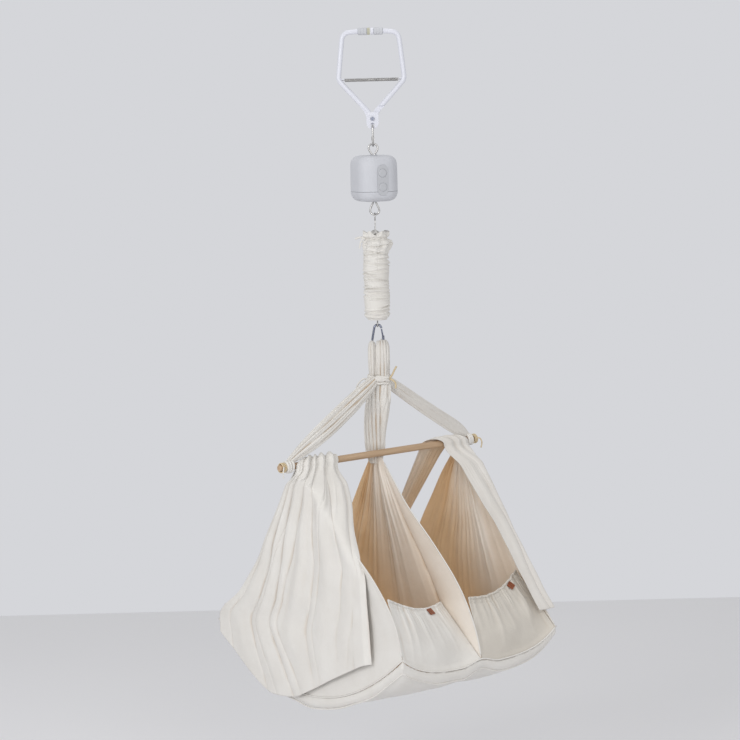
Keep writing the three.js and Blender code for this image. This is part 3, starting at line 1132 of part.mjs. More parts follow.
// A place on a wall: across from front (-1) to back (1), down from the bar (0) to the seam (1)
function wallPoint(x, topX, topY, bows, across, down) {
  const footY = (across * CRADLE_LENGTH) / 2;
  const top = at(topX, topY + across * WALL_TOP_HALF, barZ - barR - SEAT_GAP - BAR_WRAP / 2);
  const foot = at(x, footY, seamZ(x, footY));
  const bow = bows[across < 0 ? 0 : 1] * Math.sin(Math.PI * down * down) * Math.abs(across) ** 3;
  const run = foot.clone().sub(top).normalize();
  const outwards = at(0, -run.z, run.y).multiplyScalar(Math.sign(across));
  return top.lerp(foot, down).addScaledVector(outwards, bow);
}

// Walls: fans of cloth gathered at the bar and spread along the base's side
function buildWalls(strapWrapX) {
  const wrapX = strapWrapX - STRAP_WRAP_WIDTH / 2 - WRAP_SPACING - WALL_WRAP_WIDTH / 2;
  const barBore = cylinder(BAR_D + 2 * SEAT_GAP, BAR_LENGTH, 'x', at(0, 0, barZ));
  const gatherShare = 1.05;
  const wall = (x, topX, topY, bows, phase) => sheet((u, v) => {
    const across = u * 2 - 1;
    const depth = Math.sin(Math.PI * Math.min(1, v * gatherShare)) ** 0.7 * (1 - across ** 6);
    const point = wallPoint(x, topX, topY, bows, across, v);
    point.x += WALL_FOLD * Math.sin(across * WALL_FOLDS * Math.PI + phase) * depth;
    return point;
  }, WALL_COLUMNS, WALL_ROWS, CLOTH);
  const wrap = (side) => ring(barR + SEAT_GAP, wrapR, -WALL_WRAP_WIDTH / 2, WALL_WRAP_WIDTH / 2)
    .rotateY(Math.PI / 2)
    .translate(side * wrapX, 0, barZ);
  const sideX = CRADLE_WIDTH / 2;
  const left = cut(join(wall(-sideX, -wrapX, 0, LEFT_BOWS, 0), wrap(-1)), barBore);
  const right = cut(join(wall(sideX, wrapX, 0, RIGHT_BOWS, 1), wrap(1)), barBore);
  place(cradleRoot, 'wall_left', left, FINISH.cotton);
  place(cradleRoot, 'wall_right', right, FINISH.cotton);
  const dividerTop = barZ - barR - SEAT_GAP - BAR_WRAP / 2;
  const neck = cut(loft((share, around) => {
    const a = around * 2 * Math.PI;
    const half = mix(CENTRE_STRAP_FOOT_HALF, CLOTH, share);
    const deep = mix(CENTRE_STRAP_THICK / 2, WALL_TOP_HALF, share);
    const z = mix(barZ - barR - SEAT_GAP, dividerTop - WALL_TOP_HALF * 2, share);
    return at(half * Math.cos(a), STRAND_SET_BACK + deep * Math.sin(a), z);
  }, 3, 12), barBore);
  const divider = wall(0, 0, STRAND_SET_BACK, LEFT_BOWS, 0.6);
  place(cradleRoot, 'wall_centre', join(divider, neck), FINISH.cotton);
  return wrapX;
}

// Base: a sewn cover that hangs as a trough, with a slit at the head end for its mattress
function buildBase() {
  const slab = (inset, seamInset, topGap, lowGap, crown, topTuck) => {
    const across = BASE_COLUMNS;
    const along = BASE_ROWS;
    const halfW = CRADLE_WIDTH / 2 - inset;
    const halfL = CRADLE_LENGTH / 2 - inset;
    const surface = (u, v, isTop) => {
      const cx = u * 2 - 1;
      const cy = v * 2 - 1;
      const edge = Math.max(cx ** 8, cy ** 8);
      const tuck = (isTop ? topTuck : BASE_EDGE_TUCK) * edge;
      const x = cx * (halfW - tuck);
      const y = cy * (halfL - tuck);
      const nominal = seamZ(cx * (CRADLE_WIDTH / 2 - seamInset), cy * (CRADLE_LENGTH / 2 - seamInset));
      const seam = isTop ? seamZ(x, y) : nominal;
      const rise = crown * (1 - cx ** 4) * (1 - cy ** 4);
      return isTop ? at(x, y, seam - topGap + rise) : at(x, y, seam - BASE_DEPTH + lowGap);
    };
    const positions = [];
    [true, false].forEach((isTop) => {
      for (let i = 0; i <= along; i += 1) {
        for (let j = 0; j <= across; j += 1) {
          positions.push(...surface(j / across, i / along, isTop).toArray());
        }
      }
    });
    return gridSlab(positions, across, along);
  };
  const gap = SEAT_GAP * 2;
  const hem = COVER_THICK * 2;
  const outer = slab(0, 0, gap, 0, 0, 0);
  const hollow = slab(hem, hem, gap + COVER_THICK, COVER_THICK, 0, 0);
  const slit = sheet((u, v) => {
    const x = (u - 0.5) * CRADLE_WIDTH * COVER_SLIT_SHARE;
    const z = seamZ(x, CRADLE_LENGTH / 2) - gap - (BASE_DEPTH - gap) / 2;
    return at(x, CRADLE_LENGTH / 2 + (v - 0.5) * BASE_EDGE_TUCK * 4, z);
  }, 4, 1, SLIT_OPENING);
  const topFit = gap + COVER_THICK + MATTRESS_FIT * 2 + MATTRESS_CROWN;
  const lowFit = COVER_THICK + MATTRESS_FIT;
  const pad = slab(hem + MATTRESS_FIT, hem, topFit, lowFit, MATTRESS_CROWN, BASE_EDGE_TUCK / 2);
  place(cradleRoot, 'base_cover', cut(outer, hollow, slit), FINISH.cotton);
  place(cradleRoot, 'mattress', pad, FINISH.foam);
}

// Pockets at the foot end and low panels at the head end, gathered on elastic along their rims
function buildPockets() {
  const footFoldShare = 0.2; // of a wall's fold, near its foot
  const rimFoldShare = 0.75; // and at the height of the rim
  const rimBellyShare = 0.5;
  const pocket = (x0, x1, rims, end) => (u, v) => {
    const margin = CLOTH + WALL_FOLD * mix(footFoldShare, rimFoldShare, v) + SEAT_GAP * 2;
    const footX = mix(x0, x1, u) - margin * (u * 2 - 1);
    const footY = CRADLE_LENGTH / 2 - CLOTH / 2;
    const foot = at(footX, end * footY, seamZ(footX, end * footY) + CLOTH * FOOT_LIFT_SHARE);
    const middling = Math.sin(Math.PI * u);
    const rimY = mix(rims.reaches[0], rims.reaches[1], u) + rims.belly * rimBellyShare * middling;
    const rimRise = mix(rims.rises[0], rims.rises[1], u) - POCKET_RIM_SAG * middling;
    const point = foot.lerp(at(footX, end * rimY, -SEAM_DROP + rimRise), v);
    point.y += end * rims.belly * Math.sin(Math.PI * v) * middling ** 0.6;
    point.y += end * POCKET_GATHER * Math.sin(u * POCKET_GATHERS * Math.PI) * v * middling;
    return point;
  };
  const half = CRADLE_WIDTH / 2;
  const leftRim = {
    rises: [LEFT_RIM_OUTER_RISE, LEFT_RIM_INNER_RISE],
    reaches: [LEFT_RIM_OUTER_REACH, LEFT_RIM_INNER_REACH],
    belly: POCKET_BELLY,
  };
  const rightRim = {
    rises: [RIGHT_RIM_INNER_RISE, RIGHT_RIM_OUTER_RISE],
    reaches: [RIGHT_RIM_INNER_REACH, RIGHT_RIM_OUTER_REACH],
    belly: POCKET_BELLY,
  };
  const headRim = {
    rises: [HEAD_PANEL_RISE, HEAD_PANEL_RISE],
    reaches: [HEAD_PANEL_REACH, HEAD_PANEL_REACH],
    belly: HEAD_PANEL_BELLY,
  };
  const surfaces = [
    ['foot_pocket_left', pocket(-half, 0, leftRim, -1)],
    ['foot_pocket_right', pocket(0, half, rightRim, -1)],
    ['head_panel_left', pocket(-half, 0, headRim, 1)],
    ['head_panel_right', pocket(0, half, headRim, 1)],
  ];
  surfaces.forEach(([name, surface], i) => {
    const isPocket = i < 2;
    const columns = isPocket ? POCKET_COLUMNS : HEAD_PANEL_COLUMNS;
    const rows = isPocket ? POCKET_ROWS : HEAD_PANEL_ROWS;
    place(cradleRoot, name, sheet(surface, columns, rows, CLOTH), FINISH.cotton);
  });

  // Leather tabs sewn to the rims of the foot pockets
  const besideShare = 0.05;
  const tab = (curve, share, rise) => {
    const surface = (u, v) => {
      const column = Math.min(POCKET_COLUMNS - 1, Math.floor(u * POCKET_COLUMNS));
      const left = curve(column / POCKET_COLUMNS, v);
      return left.lerp(curve((column + 1) / POCKET_COLUMNS, v), u * POCKET_COLUMNS - column);
    };
    const low = 1 - TAB_HEIGHT / rise;
    const foot = surface(share, low);
    const rim = surface(share, 1);
    const side = surface(share + besideShare, low).sub(foot).normalize();
    const up = rim.clone().sub(foot).normalize();
    const out = side.clone().cross(up).normalize();
    const upright = out.clone().cross(side);
    const plate = new THREE.BoxGeometry(TAB_WIDTH, TAB_HEIGHT, TAB_THICK);
    plate.applyMatrix4(new THREE.Matrix4().makeBasis(side, upright, out));
    const middle = foot.clone().lerp(rim, 0.5);
    const reach = TAB_WIDTH / Math.abs(surface(1, 1).x - surface(0, 1).x);
    let proud = 0;
    for (let i = 0; i <= 10; i += 1) {
      for (let j = 0; j <= 4; j += 1) {
        const spot = surface(share + (i / 10 - 0.5) * reach, mix(low, 1, j / 4)).sub(middle);
        proud = Math.max(proud, spot.dot(out));
      }
    }
    middle.addScaledVector(out, proud + CLOTH / 2 + TAB_THICK / 2 + SEAT_GAP);
    return plate.translate(middle.x, middle.y, middle.z);
  };
  const leftTab = tab(surfaces[0][1], LEFT_TAB_SHARE, LEFT_RIM_OUTER_RISE);
  const rightTab = tab(surfaces[1][1], RIGHT_TAB_SHARE, RIGHT_RIM_OUTER_RISE);
  place(cradleRoot, 'pocket_tab_left', leftTab, FINISH.leather);
  place(cradleRoot, 'pocket_tab_right', rightTab, FINISH.leather);
}

// Drape cloths thrown over the bar: the front leg hangs round a wall's front edge and lies outside
// it, the back leg goes down behind the bar
function buildDrapes(wrapX) {
  const FRONT_ROWS = 9;
  const SADDLE_ROWS = 5;
  const BACK_ROWS = 2;
  const saddleR = clearing(wrapR + SEAT_GAP + DRAPE_THICK / 2, SADDLE_ROWS * 2);
  const outerX = wrapX + WALL_WRAP_WIDTH / 2 + DRAPE_THICK + SEAT_GAP * 4;
  const span = SEAM_DROP - BAR_DROP;
  const halfL = CRADLE_LENGTH / 2;
  const sideX = CRADLE_WIDTH / 2;
  const rows = FRONT_ROWS + SADDLE_ROWS + BACK_ROWS;
  const steps = (table, key) => {
    const i = Math.max(0, Math.min(table.length - 2, table.findIndex((pair) => pair[0] >= key) - 1));
    const t = THREE.MathUtils.clamp((key - table[i][0]) / (table[i + 1][0] - table[i][0]), 0, 1);
    return mix(table[i][1], table[i + 1][1], t);
  };

  // Shapes are pairs of [drop below the bar as a share of the drop to the corner seams, value]
  const shapes = {
    left: {
      backEdgeShares: [[0, 0], [0.3, 0.245], [0.595, 0.485], [0.79, 0.69], [0.975, 0.95], [1.4, 0.95]],
      foldBackShares: [[0, 0], [0.42, 0], [1.05, 0.36], [1.4, 0.4]],
      reachShares: [[0, 1], [0.2, 0.68], [0.42, 0.16], [0.47, 0], [1.4, 0]],
      hemShares: [[-0.7, 1.053], [-0.29, 1.2], [0.1, 1.352], [0.42, 1.364], [0.95, 1.06]],
      frontLimitShare: 0.69,
    },
    right: {
      backEdgeShares: [[0, 0], [0.2, -0.12], [0.5, -0.36], [0.93, -0.8], [1.4, -0.8]],
      foldBackShares: [[0, 0], [1.4, 0]],
      reachShares: [[0, 1], [0.2, 0.36], [0.5, 0.4], [0.93, 0.6], [1.4, 0.6]],
      hemShares: [[-1, 0.9], [1, 0.9]],
      frontLimitShare: 1.1,
    },
  };
  // How far out the wall stands at a level: its middle runs further down than its edges
  const wallReach = (drop) => {
    const deepDrop = (drop * span) / (span + BASE_SAG);
    return Math.max(mix(wrapX, sideX, drop), mix(wrapX, sideX, deepDrop));
  };
  const tuckShare = 0.2;
  const drape = (side, bows, shape, innerX, folds, columns) => {
    const splitShare = 0.34; // of the cloth, in front of the wall's edge
    const hanging = (u, v) => {
      const hemY = mix(-shape.frontLimitShare, steps(shape.backEdgeShares, 1.05), u);
      const drop = steps(shape.hemShares, hemY) * v;
      const edge = wallPoint(side * sideX, 0, 0, bows, -1, Math.min(1, drop));
      const limit = -shape.frontLimitShare * halfL;
      const tuckedIn = saddleR * tuckShare * (1 - smooth(v * 6));
      const cornerY = Math.max(limit, edge.y - DRAPE_CORNER_STAND_OFF - tuckedIn);
      const outside = mix(outerX, wallReach(drop) + DRAPE_STAND_OFF, smooth(drop * 4));
      const backY = steps(shape.backEdgeShares, drop) * halfL;
      const turnY = mix(cornerY, backY, steps(shape.foldBackShares, drop));
      const z = barZ - drop * span;
      if (u < splitShare) {
        const inFront = u / splitShare;
        const inwards = (outerX - innerX) * steps(shape.reachShares, drop);
        return at(side * (outside - inwards * (1 - inFront)), mix(cornerY, turnY, inFront), z);
      }
      const across = (u - splitShare) / (1 - splitShare);
      const bulge = smooth(drop * 4) * Math.sin(Math.PI * Math.min(1, v * 1.2)) ** 0.5;
      const fold = DRAPE_FOLD * (1 - Math.cos(across * folds * 2 * Math.PI)) * bulge;
      return at(side * (outside + fold), mix(turnY, backY, across), z);
    };
    const surface = (u, v) => {
      const row = v * rows;
      if (row <= FRONT_ROWS) {
        const down = 1 - row / FRONT_ROWS;
        const point = hanging(u, down);
        if (row > FRONT_ROWS - 1) point.y = mix(-saddleR, point.y, smooth(down * FRONT_ROWS));
        return point;
      }
      const turn = Math.min(1, (row - FRONT_ROWS) / SADDLE_ROWS);
      const frontX = side * mix(innerX, outerX, u);
      const backX = side * mix(DRAPE_BACK_INNER, DRAPE_BACK_OUTER, u);
      const x = mix(frontX, backX, smooth(turn));
      const a = turn * Math.PI;
      if (turn < 1) return at(x, -saddleR * Math.cos(a), barZ + saddleR * Math.sin(a));
      const down = (row - FRONT_ROWS - SADDLE_ROWS) / BACK_ROWS;
      const endX = side * (sideX - mix(DRAPE_BACK_FOOT_INNER, DRAPE_BACK_FOOT_OUTER, u));
      const reach = DRAPE_BACK_LENGTH * down;
      const y = saddleR + reach * DRAPE_BACK_SLOPE_SHARE;
      return at(mix(backX, endX, down), y, barZ - reach * (1 - DRAPE_BACK_SLOPE_SHARE));
    };
    return sheet(surface, columns, rows, DRAPE_THICK);
  };
  const left = drape(-1, LEFT_BOWS, shapes.left, DRAPE_LEFT_INNER, 4, 13);
  const right = drape(1, RIGHT_BOWS, shapes.right, DRAPE_RIGHT_INNER, 1, 8);
  place(cradleRoot, 'drape_left', left, FINISH.cotton);
  place(cradleRoot, 'drape_right', right, FINISH.cotton);
}

buildClamp();
buildSnapHook({
  prefix: 'upper_hook',
  topZ: upperHookTopZ,
  height: UPPER_HOOK_HEIGHT,
  topR: UPPER_HOOK_TOP_R,
  bottomR: UPPER_HOOK_BOTTOM_R,
  wireD: UPPER_HOOK_WIRE,
  plane: inSidePlane,
  finish: FINISH.steel,
  topShift: -(PIVOT_WASHER_THICK + TONGUE_THICK) / 2 - SEAT_GAP,
});
buildDrive();
buildSpringUnit();
buildSnapHook({
  prefix: 'lower_hook',
  topZ: lowerHookTopZ,
  height: LOWER_HOOK_HEIGHT,
  topR: LOWER_HOOK_TOP_R,
  bottomR: LOWER_HOOK_BOTTOM_R,
  wireD: LOWER_HOOK_WIRE,
  plane: inFrontPlane,
  finish: FINISH.darkSteel,
  topShift: 0,
});
const strapWrapX = buildHeadAndStraps();
const wallWrapX = buildWalls(strapWrapX);
buildBase();
buildPockets();
buildDrapes(wallWrapX);

export default cradleRoot;
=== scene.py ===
# Looks of the hanging twin baby cradle: cotton cloth, cords, springs and finishes round its frame.
# Metres, +Z up. X runs along the spreader bar, the front is -Y, and the origin is in the clamp's jaws.
import json
import math

import bpy
import numpy as np
from mathutils import Matrix, Vector


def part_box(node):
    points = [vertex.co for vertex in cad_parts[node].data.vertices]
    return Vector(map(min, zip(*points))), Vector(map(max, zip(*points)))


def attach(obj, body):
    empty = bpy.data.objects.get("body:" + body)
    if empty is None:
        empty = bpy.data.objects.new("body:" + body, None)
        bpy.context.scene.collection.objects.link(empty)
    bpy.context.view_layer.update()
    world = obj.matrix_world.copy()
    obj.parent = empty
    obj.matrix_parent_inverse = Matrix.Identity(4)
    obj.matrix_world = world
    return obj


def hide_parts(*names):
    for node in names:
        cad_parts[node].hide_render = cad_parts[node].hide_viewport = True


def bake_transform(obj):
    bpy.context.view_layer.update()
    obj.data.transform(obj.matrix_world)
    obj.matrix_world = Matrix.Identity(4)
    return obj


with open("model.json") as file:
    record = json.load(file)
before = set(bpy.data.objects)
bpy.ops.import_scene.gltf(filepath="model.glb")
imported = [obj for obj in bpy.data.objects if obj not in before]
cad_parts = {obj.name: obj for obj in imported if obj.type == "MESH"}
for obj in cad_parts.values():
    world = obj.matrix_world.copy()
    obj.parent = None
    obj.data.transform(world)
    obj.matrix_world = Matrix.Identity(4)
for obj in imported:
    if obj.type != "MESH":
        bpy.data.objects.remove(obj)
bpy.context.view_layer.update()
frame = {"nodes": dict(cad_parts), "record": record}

# Camera, as the photograph was taken
CAMERA_AZIMUTH = math.radians(-40.99)
CAMERA_PITCH = math.radians(6.583)
CAMERA_ROLL = math.radians(-1.4733)
CAMERA_DISTANCE = 7.28
CAMERA_HEIGHT = -0.1065
CAMERA_SIDESTEP = -0.0247
CAMERA_LENS_MM = 126.5
SENSOR_MM = 36.0

# Levels and sizes that the cloth takes from the frame
CHAIN_TURN = math.radians(-41)
BAR_Z = -1.183
BAR_R = 0.010
SEAM_Z = -1.672
HALF_WIDTH = 0.289
HALF_LENGTH = 0.396
HOOK_LOW_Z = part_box("lower_hook_frame")[0].z + 0.0035
PINCH_Z = -0.971
FLOOR_Z = -2.25
STRAP_X = 0.3387
WALL_X = 0.3047
BASE_SAG = 0.160
BASE_MID_SAG = -0.020
BASE_END_SAG = 0.058
BASE_DEPTH = 0.034
WALL_TOP_Z = BAR_Z - 0.0123
CLOTH_THICK = 0.0015


def smooth(value):
    value = np.clip(value, 0, 1)
    return value * value * (3 - 2 * value)


def mix(a, b, share):
    return a + (b - a) * share


def stack(x, y, z):
    return np.stack(np.broadcast_arrays(x, y, z), -1).astype(float)


def chained(points):
    """Turns points of the hanging line's own plane into the frame."""
    points = np.asarray(points, float)
    c, s = math.cos(CHAIN_TURN), math.sin(CHAIN_TURN)
    return stack(points[..., 0] * c - points[..., 1] * s, points[..., 0] * s + points[..., 1] * c, points[..., 2])


def hermite(start, end, start_slope, end_slope, h, s):
    """A cubic through two values with these slopes, at the share s of a step of length h."""
    return (
        start * (2 * s**3 - 3 * s**2 + 1)
        + start_slope * h * (s**3 - 2 * s**2 + s)
        + end * (3 * s**2 - 2 * s**3)
        + end_slope * h * (s**3 - s**2)
    )


def curve_through(places, count):
    """Points of a smooth curve through a few places, evenly spaced."""
    places = np.asarray(places, float)
    steps = np.linalg.norm(np.diff(places, axis=0), axis=1) ** 0.5
    knots = np.concatenate([[0], np.cumsum(steps)])
    slopes = np.gradient(places, knots, axis=0)
    fine = []
    for t in np.linspace(0, knots[-1], count * 8):
        i = min(len(places) - 2, int(np.searchsorted(knots, t, side="right")) - 1)
        h = knots[i + 1] - knots[i]
        s = (t - knots[i]) / h
        fine.append(hermite(places[i], places[i + 1], slopes[i], slopes[i + 1], h, s))
    fine = np.array(fine)
    along = np.concatenate([[0], np.cumsum(np.linalg.norm(np.diff(fine, axis=0), axis=1))])
    even = np.linspace(0, along[-1], count)
    return np.stack([np.interp(even, along, fine[:, k]) for k in range(3)], -1)


def eased(table, key):
    """A smooth curve through pairs of [key, value]."""
    table = np.asarray(table, float)
    knots, values = table[:, 0], table[:, 1]
    rises = np.diff(values) / np.diff(knots)
    slopes = np.concatenate([[rises[0]], (rises[:-1] + rises[1:]) / 2, [rises[-1]]])
    flat = np.concatenate([[False], rises[:-1] * rises[1:] <= 0, [False]])
    slopes[flat] = 0
    key = np.clip(key, knots[0], knots[-1])
    i = np.clip(np.searchsorted(knots, key, side="right") - 1, 0, len(knots) - 2)
    h = knots[i + 1] - knots[i]
    return hermite(values[i], values[i + 1], slopes[i], slopes[i + 1], h, (key - knots[i]) / h)


def hills(points, size, seed, count=8):
    """Soft random hills of about the given size, mostly between -1 and 1."""
    pick = np.random.default_rng(seed)
    total = np.zeros(points.shape[:-1])
    for _ in range(count):
        direction = pick.normal(size=3)
        direction *= 2 * math.pi / (np.linalg.norm(direction) * size * pick.uniform(0.7, 1.6))
        total += np.sin(points @ direction + pick.uniform(0, 2 * math.pi))
    return total / math.sqrt(count)


def pleats(across, down, count, seed, width=(0.012, 0.03), reach=(0.35, 1.1), drift=0.02, keen=1.5):
    """Folds that start at the gathers (down 0) and die out lower down; across runs from 0 to 1."""
    pick = np.random.default_rng(seed)
    total = np.zeros(np.broadcast(across, down).shape)
    for k in range(count):
        place = (k + pick.uniform(0.1, 0.9)) / count + pick.uniform(-drift, drift) * down
        wide = pick.uniform(*width) * (1 + 0.6 * down)
        ridge = np.exp(-(np.abs((across - place) / wide) ** keen))
        total += pick.uniform(0.35, 1) * ridge * (1 - smooth(down / pick.uniform(*reach)))
    return total


# Nodes and materials
def feed(tree, socket, value):
    """Gives a node's input the output of another node, or else a plain value."""
    if isinstance(value, bpy.types.NodeSocket):
        tree.links.new(value, socket)
    else:
        socket.default_value = value


def add_node(tree, kind, inputs=None, **settings):
    made = tree.nodes.new(kind)
    for key, value in settings.items():
        setattr(made, key, value)
    for key, value in (inputs or {}).items():
        feed(tree, made.inputs[key], value)
    return made


def new_material(name, looks):
    """A material whose shader gets what looks gives for each of its sockets."""
    material = bpy.data.materials.new(name)
    material.use_nodes = True
    tree = material.node_tree
    for key, value in looks(tree).items():
        feed(tree, tree.nodes["Principled BSDF"].inputs[key], value)
    return material


def object_place(tree, scale=(1, 1, 1)):
    place = add_node(tree, "ShaderNodeTexCoord").outputs["Object"]
    return add_node(tree, "ShaderNodeMapping", {"Scale": scale, "Vector": place}).outputs["Vector"]


def speckle(tree, scale, detail, stretch=(1, 1, 1)):
    inputs = {"Scale": scale, "Detail": detail, "Vector": object_place(tree, stretch)}
    return add_node(tree, "ShaderNodeTexNoise", inputs).outputs["Fac"]


def ramp(tree, value, low, high, start=0.3, end=0.7):
    made = add_node(tree, "ShaderNodeValToRGB", {"Fac": value})
    for k, (place, colour) in enumerate(((start, low), (end, high))):
        made.color_ramp.elements[k].position = place
        made.color_ramp.elements[k].color = (*colour, 1)
    return made.outputs["Color"]


def bump(tree, height, strength, distance, under=None):
    made = add_node(tree, "ShaderNodeBump", {"Strength": strength, "Distance": distance, "Height": height})
    if under is not None:
        feed(tree, made.inputs["Normal"], under)
    return made.outputs["Normal"]


def mixed(tree, share, first, second, **settings):
    """Two colours mixed. A mix node takes colours at its sockets 6 and 7 and gives one at 2."""
    inputs = {0: share, 6: first, 7: second}
    return add_node(tree, "ShaderNodeMix", inputs, data_type="RGBA", **settings).outputs[2]


def point_value(tree, name):
    return add_node(tree, "ShaderNodeAttribute", attribute_name=name).outputs["Fac"]


def combined(tree, operation, values):
    total = values[0]
    for value in values[1:]:
        total = add_node(tree, "ShaderNodeMath", {0: total, 1: value}, operation=operation).outputs["Value"]
    return total


THREAD_PITCH = 0.0011


def weave_height(tree):
    """Threads that cross: three sets of bands, of which two show on any face."""
    bands = []
    for axis in ("X", "Y", "Z"):
        scale = 1 / (THREAD_PITCH * 20) * math.pi
        inputs = {"Scale": scale, "Distortion": 1.2, "Detail": 2, "Vector": object_place(tree)}
        wave = add_node(tree, "ShaderNodeTexWave", inputs, wave_type="BANDS", bands_direction=axis)
        bands.append(wave.outputs["Fac"])
    return combined(tree, "ADD", bands)


# Painted shade: what the colour of cotton is multiplied by at the bottom of a sharp crease
CREASE_SHADE_TINT = (0.74, 0.60, 0.45)


def cotton_material(name, light, dark, sheen=0.15, inner_shade_colours=None):
    """Woven cotton. A second pair of colours, when given, is painted shade: the tan of the shaded inner faces, mixed
    in by each point's share of that shade.
    """

    def looks(tree):
        colour = ramp(tree, speckle(tree, 14, 6), dark, light)
        if inner_shade_colours is not None:
            shade_tan = ramp(tree, speckle(tree, 9, 5), *inner_shade_colours)
            colour = mixed(tree, point_value(tree, "inner_shade"), colour, shade_tan)
        # Painted shade: the colour is multiplied by the crease tint where a point lies deep in a crease
        painted_crease_tint = (*CREASE_SHADE_TINT, 1)
        creases = bump(tree, speckle(tree, 38, 5), 0.3, 0.004)
        return {
            "Base Color": mixed(tree, point_value(tree, "crease_shade"), colour, painted_crease_tint, blend_type="MULTIPLY"),
            "Roughness": 0.92,
            "Sheen Weight": sheen,
            "Specular IOR Level": 0.2,
            "Normal": bump(tree, weave_height(tree), 0.3, 0.0003, creases),
        }

    return new_material(name, looks)


def metal_material(name, light, dark, roughness):
    return new_material(name, lambda tree: {
        "Base Color": ramp(tree, speckle(tree, 60, 3), dark, light),
        "Metallic": 1,
        "Roughness": ramp(tree, speckle(tree, 140, 4), (roughness * 0.75,) * 3, (roughness * 1.3,) * 3),
        "Normal": bump(tree, speckle(tree, 400, 2), 0.08, 0.0004),
    })


def moulded_material(name, light, dark, roughness, grain=900, depth=0.0003):
    return new_material(name, lambda tree: {
        "Base Color": ramp(tree, speckle(tree, 9, 3), dark, light),
        "Roughness": ramp(tree, speckle(tree, 40, 3), (roughness * 0.9,) * 3, (roughness * 1.1,) * 3),
        "Normal": bump(tree, speckle(tree, grain, 2), 0.12, depth),
    })


def wood_material(name, light, dark):
    return new_material(name, lambda tree: {
        "Base Color": ramp(tree, speckle(tree, 60, 6, (0.06, 1, 1)), dark, light, 0.35, 0.65),
        "Roughness": 0.55,
        "Normal": bump(tree, speckle(tree, 260, 3, (0.04, 1, 1)), 0.35, 0.0006),
    })


def cord_material(name, light, dark):
    def looks(tree):
        inputs = {"Scale": 160, "Distortion": 1, "Vector": object_place(tree)}
        twist = add_node(tree, "ShaderNodeTexWave", inputs, bands_direction="DIAGONAL")
        return {
            "Base Color": ramp(tree, speckle(tree, 220, 4), dark, light),
            "Roughness": 0.9,
            "Normal": bump(tree, twist.outputs["Fac"], 0.5, 0.0006),
        }

    return new_material(name, looks)


def leather_material(name, light, dark):
    def looks(tree):
        cells = add_node(tree, "ShaderNodeTexVoronoi", {"Scale": 900, "Vector": object_place(tree)})
        return {
            "Base Color": ramp(tree, speckle(tree, 90, 5), dark, light),
            "Roughness": 0.5,
            "Normal": bump(tree, cells.outputs["Distance"], 0.3, 0.0004),
        }

    return new_material(name, looks)


# Painted shade: the tan of the shaded inner faces
INNER_SHADE_TAN = ((0.72, 0.505, 0.295), (0.83, 0.61, 0.385))
COTTON = cotton_material("cotton_outer", (0.765, 0.745, 0.712), (0.725, 0.700, 0.662))
# A brighter, warmer copy of cotton for the inner faces: painted light standing in for light through the cloth, with
# the painted tan shade mixed in
COTTON_INNER_PAINTED_LIGHT_SHADE = cotton_material("cotton_inner_painted_light_shade", (0.84, 0.785, 0.72), (0.80, 0.735, 0.66), 0.1, INNER_SHADE_TAN)
# A darker copy of cotton: painted shade for the right foot pocket
COTTON_DEEP_SHADE = cotton_material("cotton_deep_shade", (0.66, 0.62, 0.56), (0.61, 0.57, 0.51))
# A darker copy of cotton: painted shade for the right drape, the right strap and the head bundles
COTTON_SHADED = cotton_material("cotton_shaded", (0.73, 0.705, 0.67), (0.69, 0.66, 0.62))
CORD = cord_material("tie_cord", (0.72, 0.60, 0.40), (0.55, 0.43, 0.26))
STEEL = metal_material("zinc_steel", (0.58, 0.57, 0.55), (0.42, 0.41, 0.40), 0.3)

SLOT_MATERIALS = {
    "cotton": COTTON,
    "cord": CORD,
    "steel": STEEL,
    "beech": wood_material("oiled_beech", (0.60, 0.43, 0.28), (0.42, 0.28, 0.17)),
    "enamel": moulded_material("gloss_enamel", (0.72, 0.73, 0.80), (0.70, 0.71, 0.78), 0.3, 300, 0.0002),
    "rubber": moulded_material("jaw_rubber", (0.58, 0.59, 0.62), (0.52, 0.53, 0.57), 0.7),
    "jaw_brass": moulded_material("jaw_khaki", (0.50, 0.49, 0.38), (0.45, 0.44, 0.33), 0.5),
    "dark_steel": metal_material("polished_dark_steel", (0.30, 0.32, 0.38), (0.16, 0.17, 0.22), 0.2),
    "shell": moulded_material("drive_shell", (0.59, 0.60, 0.64), (0.56, 0.57, 0.61), 0.5),
    "panel": moulded_material("drive_panel", (0.52, 0.53, 0.56), (0.49, 0.50, 0.53), 0.45),
    "inner_plastic": moulded_material("inner_plastic", (0.05, 0.055, 0.06), (0.035, 0.04, 0.045), 0.5),
    "board": moulded_material("board_green", (0.03, 0.16, 0.07), (0.02, 0.12, 0.05), 0.4),
    "filling": cotton_material("wadding", (0.85, 0.83, 0.78), (0.80, 0.78, 0.72)),
    "leather": leather_material("brown_leather", (0.30, 0.09, 0.035), (0.20, 0.055, 0.02)),
}


# Camera
def make_camera():
    a = CAMERA_AZIMUTH
    back = Vector((math.sin(a), -math.cos(a), 0))
    right = Vector((math.cos(a), math.sin(a), 0))
    eye = back * CAMERA_DISTANCE + right * CAMERA_SIDESTEP + Vector((0, 0, CAMERA_HEIGHT))
    ahead = -back * math.cos(CAMERA_PITCH) - Vector((0, 0, math.sin(CAMERA_PITCH)))
    up = right.cross(ahead)
    side = right * math.cos(CAMERA_ROLL) + up * math.sin(CAMERA_ROLL)
    top = up * math.cos(CAMERA_ROLL) - right * math.sin(CAMERA_ROLL)
    data = bpy.data.cameras.new("camera")
    data.sensor_width = SENSOR_MM
    data.lens = CAMERA_LENS_MM
    data.clip_end = 200
    camera = bpy.data.objects.new("camera", data)
    bpy.context.scene.collection.objects.link(camera)
    turn = Matrix((side, top, -ahead)).transposed()
    camera.matrix_world = Matrix.Translation(eye) @ turn.to_4x4()
    bpy.context.scene.camera = camera


